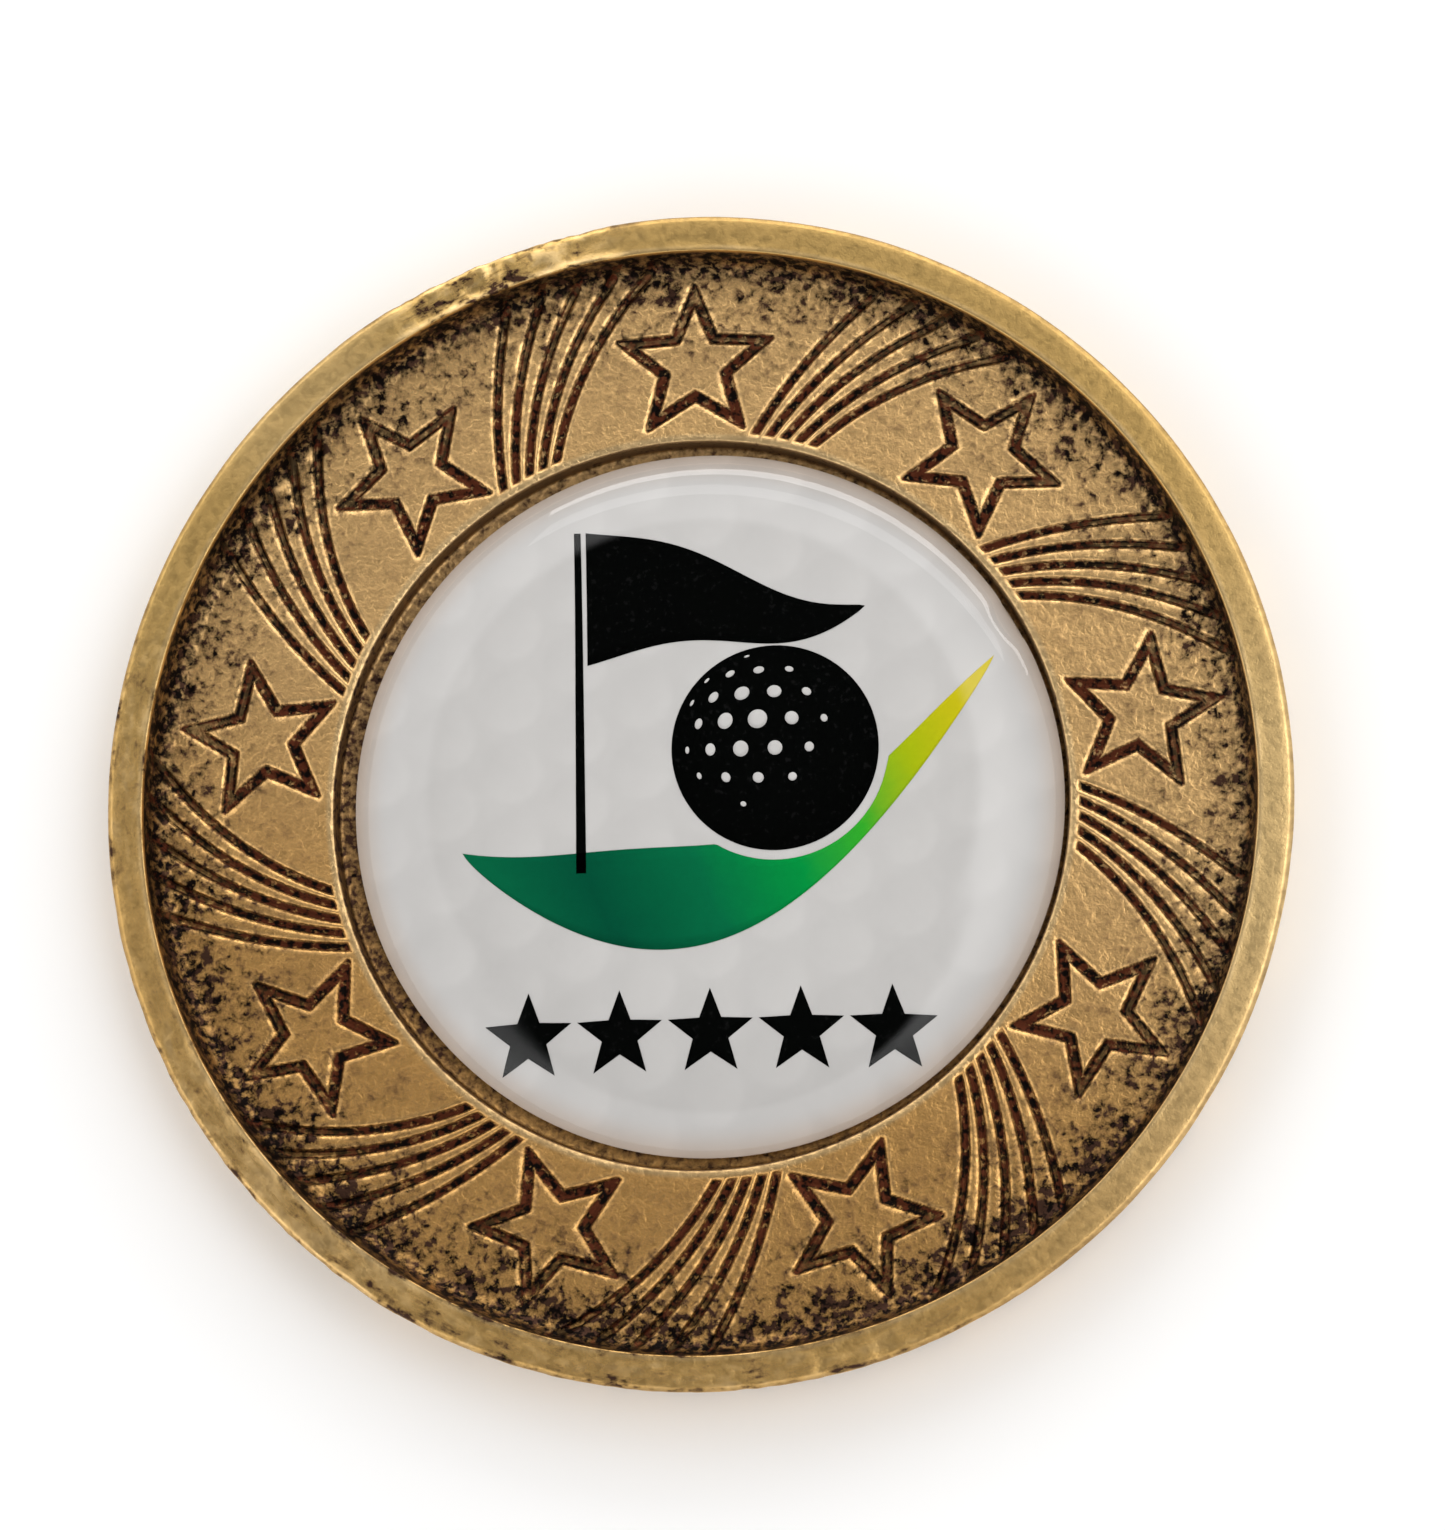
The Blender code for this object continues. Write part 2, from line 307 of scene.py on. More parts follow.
class Graph:
    """A shader node tree, with a short call for each kind of node that the finishes use."""

    def __init__(self, tree: bpy.types.NodeTree) -> None:
        """Wrap a tree.

        Args:
            tree: The node tree that the calls add to.
        """
        self.tree = tree

    def node(self, kind: str, **settings: object) -> bpy.types.Node:
        """Add a node.

        Args:
            kind: Blender's name for the kind of node, without "ShaderNode".
            **settings: Values for the node's own properties.

        Returns:
            The new node.
        """
        added = self.tree.nodes.new("ShaderNode" + kind)
        for name, value in settings.items():
            setattr(added, name, value)
        return added

    def wire(self, value: Value, socket: Socket) -> None:
        """Link a socket to an input, or set the input to a plain value.

        Args:
            value: A socket, a number or a tuple.
            socket: The input that takes it.
        """
        if isinstance(value, bpy.types.NodeSocket):
            self.tree.links.new(value, socket)
        else:
            socket.default_value = value

    def math(self, operation: str, first: Value, second: Value = 0.0, third: Value = 0.0) -> Socket:
        """One step of arithmetic.

        Args:
            operation: Blender's name for the operation.
            first: First operand.
            second: Second operand, where the operation has one.
            third: Third operand, where the operation has one.

        Returns:
            The result.
        """
        step = self.node("Math", operation=operation)
        for value, socket in zip((first, second, third), step.inputs):
            self.wire(value, socket)
        return step.outputs[0]

    def folded(self, operation: str, values: Sequence[Value]) -> Value:
        """Carry an operation of two operands through several values.

        Args:
            operation: Blender's name for the operation.
            values: The values, in order.

        Returns:
            The result after the last value.
        """
        result = values[0]
        for value in values[1:]:
            result = self.math(operation, result, value)
        return result

    def add(self, *values: Value) -> Value:
        """Sum of several values."""
        return self.folded("ADD", values)

    def subtract(self, first: Value, second: Value) -> Socket:
        """First value less the second."""
        return self.math("SUBTRACT", first, second)

    def multiply(self, *values: Value) -> Value:
        """Product of several values."""
        return self.folded("MULTIPLY", values)

    def scaled(self, value: Value, factor: float, offset: float) -> Socket:
        """The value times a factor, plus an offset."""
        return self.math("MULTIPLY_ADD", value, factor, offset)

    def lowest(self, *values: Value) -> Value:
        """Smallest of several values."""
        return self.folded("MINIMUM", values)

    def highest(self, *values: Value) -> Value:
        """Largest of several values."""
        return self.folded("MAXIMUM", values)

    def clamped(self, value: Value) -> Value:
        """The value kept between 0 and 1."""
        return self.lowest(self.highest(value, 0.0), 1.0)

    def length(self, x: Value, y: Value) -> Socket:
        """Length of the flat vector (x, y)."""
        return self.math("SQRT", self.add(self.multiply(x, x), self.multiply(y, y)))

    def eased(self, value: Value, low: float, high: float) -> Socket:
        """Ease from 0 where the value is low to 1 where it is high.

        Args:
            value: Value to ease.
            low: Value that gives 0.
            high: Value that gives 1; below low, it turns the ease round.

        Returns:
            The eased value.
        """
        step = self.node("MapRange", interpolation_type="SMOOTHSTEP")
        self.wire(value, step.inputs["Value"])
        first, last = (low, high) if low < high else (high, low)
        step.inputs["From Min"].default_value = first
        step.inputs["From Max"].default_value = last
        step.inputs["To Min"].default_value = 0.0 if low < high else 1.0
        step.inputs["To Max"].default_value = 1.0 if low < high else 0.0
        return step.outputs["Result"]

    def band(self, value: Value, start: float, full: float, fall: float, end: float) -> Value:
        """Ease up from start to full, hold, and ease down from fall to end."""
        return self.multiply(self.eased(value, start, full), self.eased(value, end, fall))

    def blend(self, factor: Value, first: Value, second: Value) -> Socket:
        """Number between two others.

        Args:
            factor: 0 gives the first and 1 the second.
            first: First number.
            second: Second number.

        Returns:
            The number between them.
        """
        step = self.node("Mix", data_type="FLOAT")
        self.wire(factor, step.inputs[0])
        self.wire(first, step.inputs[2])
        self.wire(second, step.inputs[3])
        return step.outputs[0]

    def tint(self, factor: Value, first: Value, second: Value) -> Socket:
        """Colour between two others.

        Args:
            factor: 0 gives the first and 1 the second.
            first: First colour, a socket or three linear channels.
            second: Second colour.

        Returns:
            The mixed colour.
        """
        step = self.node("Mix", data_type="RGBA", clamp_factor=True)
        self.wire(factor, step.inputs[0])
        for colour, socket in ((first, step.inputs[6]), (second, step.inputs[7])):
            self.wire((*colour, 1.0) if isinstance(colour, tuple) else colour, socket)
        return step.outputs[2]

    def times(self, vector: Socket, factor: Value) -> Socket:
        """A vector or a colour times a number."""
        step = self.node("VectorMath", operation="SCALE")
        self.wire(vector, step.inputs["Vector"])
        self.wire(factor, step.inputs["Scale"])
        return step.outputs["Vector"]

    def dot(self, vector: Socket, direction: Tuple[float, float, float]) -> Socket:
        """Dot product of a vector and a set direction."""
        step = self.node("VectorMath", operation="DOT_PRODUCT")
        self.wire(vector, step.inputs[0])
        self.wire(direction, step.inputs[1])
        return step.outputs["Value"]

    def vector(self, x: Value, y: Value, z: Value) -> Socket:
        """Vector made of three values."""
        step = self.node("CombineXYZ")
        for value, socket in zip((x, y, z), step.inputs):
            self.wire(value, socket)
        return step.outputs[0]

    def parts(self, vector: Socket) -> Tuple[Socket, Socket, Socket]:
        """The three values of a vector."""
        step = self.node("SeparateXYZ")
        self.wire(vector, step.inputs[0])
        return step.outputs[0], step.outputs[1], step.outputs[2]

    def noise(self, place: Socket, per_mm: Value, detail: float = 2.0, twist: float = 0.0) -> Socket:
        """Cloudy noise about 0.5.

        Args:
            place: Place in millimetres.
            per_mm: Cells to the millimetre.
            detail: Octaves beyond the first.
            twist: How far the noise is drawn into grains.

        Returns:
            The noise, mostly between 0.3 and 0.7.
        """
        texture = self.node("TexNoise")
        for label, value in (
            ("Vector", place),
            ("Scale", per_mm),
            ("Detail", detail),
            ("Roughness", NOISE_ROUGHNESS),
            ("Distortion", twist),
        ):
            self.wire(value, texture.inputs[label])
        return texture.outputs[0]

    def bump(self, height: Value) -> Socket:
        """Normal of a surface raised by a height in millimetres."""
        step = self.node("Bump")
        self.wire(1.0, step.inputs["Strength"])
        self.wire(METRES_PER_MM, step.inputs["Distance"])
        self.wire(height, step.inputs["Height"])
        return step.outputs["Normal"]

    def place(self, group: bpy.types.NodeTree, inputs: Dict[str, Value]) -> bpy.types.Node:
        """Place a node group.

        Args:
            group: The group.
            inputs: Values for its inputs, by name.

        Returns:
            The group's node, whose outputs go by name.
        """
        added = self.node("Group", node_tree=group)
        for name, value in inputs.items():
            self.wire(value, added.inputs[name])
        return added


def new_group(
    name: str, inputs: Sequence[Tuple[str, str]], outputs: Sequence[str]
) -> Tuple[Graph, bpy.types.Node, bpy.types.Node]:
    """Start a shader node group.

    Args:
        name: Name of the group.
        inputs: (name, kind) of each input, where kind is "Float" or "Vector".
        outputs: Names of the outputs, which are all numbers but "Place".

    Returns:
        The group's graph, its input node and its output node.
    """
    tree = bpy.data.node_groups.new(name, "ShaderNodeTree")
    for label, kind in inputs:
        tree.interface.new_socket(name=label, in_out="INPUT", socket_type="NodeSocket" + kind)
    for label in outputs:
        kind = "Vector" if label == "Place" else "Float"
        tree.interface.new_socket(name=label, in_out="OUTPUT", socket_type="NodeSocket" + kind)
    start = tree.nodes.new("NodeGroupInput")
    end = tree.nodes.new("NodeGroupOutput")
    return Graph(tree), start, end


def polar_place_group() -> bpy.types.NodeTree:
    """Group that turns Object coordinates into millimetres, a radius and a bearing.

    The place is the coordinate times 1000, less the centre along X. Its radius is
    sqrt(x * x + y * y) and its bearing atan2(x, y) in degrees.

    Returns:
        The group.
    """
    graph, start, end = new_group(
        "polar_place",
        (("Coordinates", "Vector"), ("Centre X", "Float")),
        ("Place", "Radius", "Bearing", "Height"),
    )
    east, y, z = graph.parts(graph.times(start.outputs["Coordinates"], MM_PER_METRE))
    x = graph.subtract(east, start.outputs["Centre X"])
    for label, value in (
        ("Place", graph.vector(x, y, z)),
        ("Radius", graph.length(x, y)),
        ("Bearing", graph.math("DEGREES", graph.math("ARCTAN2", x, y))),
        ("Height", z),
    ):
        graph.wire(value, end.inputs[label])
    return graph.tree


def fine_grain_group() -> bpy.types.NodeTree:
    """Group of two sizes of noise, for cast skin, paper and ink.

    "Grains" is noise at the given scale and "Clouds" noise at about a sixth of it. Both are
    stretched about 0.5 so that they fill 0 to 1.

    Returns:
        The group.
    """
    graph, start, end = new_group(
        "fine_grain", (("Place", "Vector"), ("Cells per mm", "Float")), ("Grains", "Clouds")
    )
    for label, share, twist, stretch in (("Grains", 1.0, 0.25, 2.6), ("Clouds", 0.17, 0.3, 2.2)):
        cells = graph.multiply(start.outputs["Cells per mm"], share)
        noise = graph.noise(start.outputs["Place"], cells, 3.0, twist)
        spread = graph.scaled(noise, stretch, 0.5 - 0.5 * stretch)
        graph.wire(graph.clamped(spread), end.inputs[label])
    return graph.tree


@dataclass(frozen=True)
class BorderPattern:
    """Stars and swept grooves of the border, in millimetres and degrees.

    The pattern repeats every sector. s is the share of the way from the recess to the rim, and m
    the bearing inside a sector. Groove k of a bundle lies at bearing
    first + sweep * s + k * (step + sweep_step * s + curl * (s * s - s)).
    A star's edges are lines at a set distance from its centre, so between a tip and a valley the
    distance is rho * cos(phi - edge angle), with rho and phi polar about the star's centre.
    """

    stars: int = 9
    inner_radius: float = 12.49
    width: float = 6.34
    grooves: int = 5
    first: float = 8.5
    step: float = 2.2
    sweep: float = 11.8
    sweep_step: float = 1.9
    curl: float = 0.6
    half_width: float = 0.15
    groove_start: float = 12.78
    groove_end: float = 18.75
    star_radius: float = 15.14
    star_tip: float = 2.85
    star_outer_line: float = 1.13
    star_inner_line: float = 0.73
    edge_angle: float = 68.0

    @property
    def sector(self) -> float:
        """Bearing from one star to the next."""
        return 360.0 / self.stars

    def groove_bearing(self, order: Array, share: Array) -> Array:
        """Bearing of a groove's centre line inside its sector, in degrees."""
        curl = self.curl * (share * share - share)
        return self.first + self.sweep * share + order * (self.step + self.sweep_step * share + curl)

    def groove_lean(self, order: Array, share: Array, radius: Array) -> Array:
        """Sideways millimetres that a groove travels for each millimetre outward."""
        turn = self.sweep + order * (self.sweep_step + self.curl * (2.0 * share - 1.0))
        return radius * np.radians(turn) / self.width

    def edge(self, radius: Array, bearing: Array) -> Array:
        """Distance from the nearest groove's edge, negative inside the groove.

        Args:
            radius: Radii from the disc's axis, millimetres.
            bearing: Bearings, degrees.

        Returns:
            Signed distances in millimetres.
        """
        share = (radius - self.inner_radius) / self.width
        inside = wrapped(bearing, 0.0, self.sector)
        lead = self.groove_bearing(np.zeros_like(share), share)
        pitch = self.groove_bearing(np.ones_like(share), share) - lead
        order = np.clip(np.round((inside - lead) / pitch), 0, self.grooves - 1)
        off = np.radians(inside - lead - order * pitch) * radius
        lean = self.groove_lean(order, share, radius)
        streak = np.abs(off) / np.sqrt(1.0 + lean * lean) - self.half_width
        streak = np.maximum(streak, np.maximum(self.groove_start - radius, radius - self.groove_end))
        about = np.radians(wrapped(bearing, -0.5 * self.sector, 0.5 * self.sector))
        x = radius * np.sin(about)
        y = radius * np.cos(about) - self.star_radius
        rho = np.hypot(x, y)
        phi = np.abs(wrapped(np.degrees(np.arctan2(x, y)), -HALF_TIP_ANGLE, HALF_TIP_ANGLE))
        line = rho * np.cos(np.radians(phi - self.edge_angle))
        star = np.maximum(line - self.star_outer_line, rho - self.star_tip)
        star = np.maximum(star, self.star_inner_line - line)
        return np.minimum(streak, star)

    def group(self) -> bpy.types.NodeTree:
        """The same distance as a node group.

        Returns:
            The group, which puts out "Edge" in millimetres.
        """
        graph, start, end = new_group(
            "border_pattern", (("Radius", "Float"), ("Bearing", "Float")), ("Edge",)
        )
        radius = start.outputs["Radius"]
        bearing = start.outputs["Bearing"]
        share = graph.scaled(radius, 1.0 / self.width, -self.inner_radius / self.width)
        lead = graph.scaled(share, self.sweep, self.first)
        bow = graph.multiply(graph.subtract(graph.multiply(share, share), share), self.curl)
        pitch = graph.add(graph.scaled(share, self.sweep_step, self.step), bow)
        inside = graph.math("WRAP", bearing, self.sector, 0.0)
        past = graph.subtract(inside, lead)
        order = graph.math("ROUND", graph.math("DIVIDE", past, pitch))
        order = graph.lowest(graph.highest(order, 0.0), float(self.grooves - 1))
        off = graph.math("RADIANS", graph.subtract(past, graph.multiply(order, pitch)))
        off = graph.math("ABSOLUTE", graph.multiply(off, radius))
        turn = graph.scaled(share, 2.0 * self.curl, self.sweep_step - self.curl)
        turn = graph.math("RADIANS", graph.add(graph.multiply(order, turn), self.sweep))
        lean = graph.multiply(turn, radius, 1.0 / self.width)
        slant = graph.math("SQRT", graph.add(graph.multiply(lean, lean), 1.0))
        streak = graph.highest(
            graph.subtract(graph.math("DIVIDE", off, slant), self.half_width),
            graph.subtract(self.groove_start, radius),
            graph.subtract(radius, self.groove_end),
        )
        half = 0.5 * self.sector
        about = graph.math("RADIANS", graph.math("WRAP", bearing, half, -half))
        x = graph.multiply(radius, graph.math("SINE", about))
        y = graph.subtract(graph.multiply(radius, graph.math("COSINE", about)), self.star_radius)
        rho = graph.length(x, y)
        phi = graph.math("DEGREES", graph.math("ARCTAN2", x, y))
        phi = graph.math("ABSOLUTE", graph.math("WRAP", phi, HALF_TIP_ANGLE, -HALF_TIP_ANGLE))
        angle = graph.math("RADIANS", graph.subtract(phi, self.edge_angle))
        line = graph.multiply(rho, graph.math("COSINE", angle))
        star = graph.highest(
            graph.subtract(line, self.star_outer_line),
            graph.subtract(rho, self.star_tip),
            graph.subtract(self.star_inner_line, line),
        )
        graph.wire(graph.lowest(streak, star), end.inputs["Edge"])
        return graph.tree


class Groups:
    """The node groups that the finishes share, each built once."""

    def __init__(self, pattern: BorderPattern) -> None:
        """Build the groups.

        Args:
            pattern: The border's pattern.
        """
        self.polar = polar_place_group()
        self.grain = fine_grain_group()
        self.border = pattern.group()


@dataclass(frozen=True)
class Canvas:
    """What a finish is painted on: a material's graph and shader, with its place and its grain.

    Lengths are in millimetres and the bearing is in degrees. Grains and clouds are 0 to 1.
    """

    graph: Graph
    shader: bpy.types.Node
    groups: Groups
    place: Socket
    radius: Socket
    bearing: Socket
    height: Socket
    grains: Socket
    clouds: Socket

    def give(self, name: str, value: Value) -> None:
        """Give a value to one of the shader's inputs."""
        self.graph.wire(value, self.shader.inputs[name])

    def matt(self, roughness: float) -> None:
        """Make the surface matt, with no mirror part."""
        self.give("Roughness", roughness)
        self.give("Specular IOR Level", 0.0)


@dataclass(frozen=True)
class Finish:
    """A surface finish that becomes one material.

    Its places are measured from centre_x, and its grain has grain_per_mm cells to the millimetre.
    """

    name: str
    slot: Optional[Slot]
    centre_x: float = 0.0
    grain_per_mm: float = 1.0

    def material(self, groups: Groups) -> bpy.types.Material:
        """Build the material on Object coordinates.

        Args:
            groups: Node groups that finishes share.

        Returns:
            The material, with its node tree filled in.
        """
        material = bpy.data.materials.new(self.name)
        material.use_nodes = True
        graph = Graph(material.node_tree)
        coordinates = graph.node("TexCoord").outputs["Object"]
        polar = graph.place(groups.polar, {"Coordinates": coordinates, "Centre X": self.centre_x})
        place, radius, bearing, height = polar.outputs
        grain = graph.place(groups.grain, {"Place": place, "Cells per mm": self.grain_per_mm})
        grains, clouds = grain.outputs
        shader = material.node_tree.nodes["Principled BSDF"]
        self.paint(Canvas(graph, shader, groups, place, radius, bearing, height, grains, clouds))
        return material

    def paint(self, canvas: Canvas) -> None:
        """Fill in the node tree.

        Args:
            canvas: The material in work.
        """
        raise NotImplementedError


@dataclass(frozen=True)
class RimPlace:
    """A stretch of the rim: its middle and half its length in degrees, and its strength."""

    bearing: float
    reach: float
    strength: float


@dataclass(frozen=True)
class GoldMasks:
    """Masks of the disc's faces and cuts, each 0 outside and 1 inside.

    "outward" climbs from 0 near the recess to 1 near the rim.
    """

    top_face: Value
    above_recess: Value
    recess: Value
    side: Value
    under: Value
    wall: Value
    outward: Value
    groove: Value
    lip: Value


@dataclass(frozen=True)
class AntiqueGold(Finish):
    """Cast metal plated in gold, with a brown patina wiped off its high places, painted shade on its
    lower side and painted highlights on stretches of its rim.

    A pair of radii or heights is where a mask begins and where it is full. Four of them are
    where a band begins, is full, starts to fall and ends.
    """

    name: str = "antique_gold"
    slot: Optional[Slot] = Slot.GOLD
    grain_per_mm: float = 3.3
    gold: Colour = (0.91, 0.57, 0.236)
    # Painted shade: darker, warmer gold for the disc's lower side.
    painted_shade_gold: Colour = (0.80, 0.445, 0.142)
    rim_gold: Colour = (0.80, 0.515, 0.175)
    worn_gold: Colour = (0.86, 0.63, 0.33)
    highlight_and_streak_gold: Colour = (0.98, 0.68, 0.30)
    patina: Colour = (0.055, 0.026, 0.016)
    groove_brown: Colour = (0.08, 0.02, 0.008)
    # Black patina in the hollows, which on the wall at the rim's foot is also painted shadow.
    soot: Colour = (0.004, 0.002, 0.0015)
    top_heights: Pair = (2.7, 2.93)
    above_recess_heights: Pair = (1.35, 1.5)
    field_radii: Pair = (12.46, 12.52)
    field_heights: Pair = (2.75, 2.45)
    recess_heights: Pair = (0.6, 0.8)
    recess_wall_radii: Pair = (12.34, 12.39)
    recess_lip_radii: Ramp = (12.44, 12.5, 12.6, 12.78)
    outward_radii: Pair = (13.8, 17.6)
    wall_radii: Ramp = (17.85, 18.42, 19.0, 19.2)
    wall_heights: Pair = (2.97, 2.85)
    rim_lip_radii: Ramp = (18.8, 18.84, 18.9, 19.03)
    rim_inner_radii: Pair = (18.95, 18.82)
    rim_pit_radii: Ramp = (18.9, 19.1, 19.6, 19.85)
    rim_shoulder_radii: Pair = (19.8, 19.9)
    side_radii: Pair = (19.0, 19.3)
    side_heights: Pair = (2.9, 2.75)
    under_heights: Pair = (0.5, 0.35)
    groove_edges: Pair = (0.035, -0.06)
    lip_edges: Ramp = (0.02, 0.07, 0.10, 0.22)
    # Direction of the lower side, and the extra patina there near the rim, both painted shade.
    painted_shade_direction: Tuple[float, float, float] = (-0.29, -0.957, 0.0)
    painted_shade_share: float = 0.12
    streak_turn: float = 7.0
    pitted: Tuple[RimPlace, ...] = (
        RimPlace(-19.0, 11.0, 1.0),
        RimPlace(187.0, 15.0, 0.7),
        RimPlace(272.0, 9.0, 0.55),
    )
    # Painted highlights: stretches of the rim made paler where the light falls on it.
    painted_highlights: Tuple[RimPlace, ...] = (
        RimPlace(107.0, 52.0, 1.0),
        RimPlace(226.0, 24.0, 0.6),
        RimPlace(317.0, 15.0, 0.5),
    )
    rough: Tuple[RimPlace, ...] = (
        RimPlace(-20.0, 17.0, 1.3),
        RimPlace(205.0, 75.0, 0.85),
        RimPlace(275.0, 22.0, 0.7),
    )
    dark_recess: Tuple[RimPlace, ...] = (RimPlace(262.0, 58.0, 0.24),)
    # Two stretches of the field made darker near the rim.
    darker_stretches: Tuple[RimPlace, ...] = (
        RimPlace(126.0, 26.0, 0.22),
        RimPlace(183.0, 24.0, 0.06),
    )

    def paint(self, canvas: Canvas) -> None:
        """Fill in the node tree; see Finish.paint for the argument."""
        graph = canvas.graph
        masks = self.masks(canvas)
        rough = self.along_rim(canvas, self.rough)
        streaks = graph.subtract(self.rim_streaks(canvas), 0.5)
        patina = self.patina_share(canvas, masks, rough, streaks)
        clean = self.clean_gold(canvas, masks, rough, streaks)
        canvas.give("Base Color", graph.tint(patina, clean, self.dirt(canvas, masks)))
        canvas.give("Metallic", graph.scaled(patina, -0.06, 1.0))
        roughness = graph.add(graph.scaled(patina, 0.16, 0.34), graph.scaled(canvas.grains, 0.08, -0.04))
        canvas.give("Roughness", roughness)
        canvas.give("Normal", graph.bump(self.relief(canvas, masks)))

    def masks(self, canvas: Canvas) -> GoldMasks:
        """Masks of the disc's faces and cuts, from the radius, the height and the border pattern.

        Args:
            canvas: The material in work.

        Returns:
            The masks.
        """
        graph = canvas.graph
        radius = canvas.radius
        height = canvas.height
        above_recess = graph.eased(height, *self.above_recess_heights)
        on_field = graph.multiply(
            graph.eased(radius, *self.field_radii),
            graph.eased(height, *self.field_heights),
            above_recess,
        )
        border = graph.place(canvas.groups.border, {"Radius": radius, "Bearing": canvas.bearing})
        edge = border.outputs["Edge"]
        ragged = graph.add(edge, graph.scaled(graph.noise(canvas.place, 6.0), 0.10, -0.05))
        in_recess = graph.eased(radius, *self.field_radii[::-1])
        on_wall = graph.band(radius, *self.wall_radii)
        return GoldMasks(
            top_face=graph.eased(height, *self.top_heights),
            above_recess=above_recess,
            recess=graph.multiply(in_recess, graph.eased(height, *self.recess_heights)),
            side=graph.eased(radius, *self.side_radii),
            under=graph.eased(height, *self.under_heights),
            wall=graph.multiply(on_wall, graph.eased(height, *self.wall_heights)),
            outward=graph.eased(radius, *self.outward_radii),
            groove=graph.multiply(graph.eased(ragged, *self.groove_edges), on_field),
            lip=graph.multiply(graph.band(edge, *self.lip_edges), on_field),
        )

    def patina_share(self, canvas: Canvas, masks: GoldMasks, rough: Value, streaks: Value) -> Value:
        """Share of the metal that patina hides: the field's, then each other face's over it.

        Args:
            canvas: The material in work.
            masks: Masks of the disc's faces.
            rough: How rough the rim is.
            streaks: Noise along the rim, about 0.

        Returns:
            The share, 0 to 1.
        """
        graph = canvas.graph
        grains = canvas.grains
        clouds = canvas.clouds
        in_groove = graph.scaled(graph.eased(grains, 0.02, 0.35), 0.3, 0.7)
        # On the wall at the rim's foot the patina is real and also painted shadow of the rim.
        on_wall = graph.clamped(graph.scaled(grains, 0.7, 0.6))
        on_wall = graph.highest(on_wall, graph.multiply(masks.groove, 0.95))
        outer_side = graph.multiply(masks.side, graph.eased(canvas.height, *self.side_heights))
        on_side = graph.clamped(graph.scaled(clouds, 0.6, -0.08))
        below = graph.add(graph.scaled(clouds, 0.5, 0.05), graph.scaled(grains, 0.5, -0.05))
        share = self.field_patina(canvas, masks)
        for mask, own_share in (
            (masks.groove, in_groove),
            (masks.wall, on_wall),
            (masks.recess, self.recess_patina(canvas, masks)),
            (masks.top_face, self.rim_patina(canvas, rough, streaks)),
            (outer_side, on_side),
            (masks.under, graph.clamped(below)),
        ):
            share = graph.blend(mask, share, own_share)
        return share

    def field_patina(self, canvas: Canvas, masks: GoldMasks) -> Value:
        """Patina of the open field.

        The mean share grows towards the rim, towards the lower side as painted shade, and near the rim at
        two darker stretches.
        Blotches and specks are added to it, stronger further out.

        Args:
            canvas: The material in work.
            masks: Masks of the disc's faces.

        Returns:
            The share, 0 to 1.
        """
        graph = canvas.graph
        radius = canvas.radius
        near_rim = graph.scaled(graph.eased(radius, 16.0, 18.0), 0.16, self.painted_shade_share)
        # Painted shade: more patina near the rim towards the lower side.
        painted_shade = graph.multiply(self.painted_shade_ease(canvas, 2.0, 12.0), near_rim)
        # Darker near the rim at these two bearings.
        darker_stretches = graph.multiply(self.along_rim(canvas, self.darker_stretches), graph.eased(radius, 16.3, 17.9))
        blotch = graph.subtract(graph.noise(canvas.place, 1.7, 3.0, 0.4), 0.5)
        blotch = graph.add(blotch, graph.multiply(graph.subtract(canvas.clouds, 0.5), 0.3))
        blotch = graph.multiply(blotch, graph.blend(masks.outward, 0.6, 1.55))
        speck = graph.subtract(canvas.grains, 0.5)
        speck = graph.multiply(speck, graph.blend(masks.outward, 0.68, 1.3))
        return graph.clamped(graph.add(self.field_cover(canvas), painted_shade, darker_stretches, blotch, speck))

    def field_cover(self, canvas: Canvas) -> Value:
        """Mean share of the field that the patina hides, which grows towards the rim.

        Args:
            canvas: The material in work.

        Returns:
            The share: a step outside the recess, an even slope from 13.2 mm and the cove's foot.
        """
        graph = canvas.graph
        start = graph.multiply(graph.eased(canvas.radius, 12.6, 13.3), 0.2)
        slope = graph.highest(graph.scaled(canvas.radius, 0.045, -0.045 * 13.2), 0.0)
        foot = graph.multiply(graph.eased(canvas.radius, 16.5, 18.6), 0.2)
        return graph.add(start, slope, foot)

    def recess_patina(self, canvas: Canvas, masks: GoldMasks) -> Value:
        """Patina in the recess, nearly whole on its wall.

        Args:
            canvas: The material in work.
            masks: Masks of the disc's faces.

        Returns:
            The share, 0 to 1.
        """
        graph = canvas.graph
        cover = graph.add(self.along_rim(canvas, self.dark_recess), 0.22)
        share = graph.clamped(graph.add(graph.multiply(canvas.grains, 0.75), cover))
        wall = graph.multiply(graph.eased(canvas.radius, *self.recess_wall_radii), masks.recess, 0.8)
        return graph.highest(share, wall)

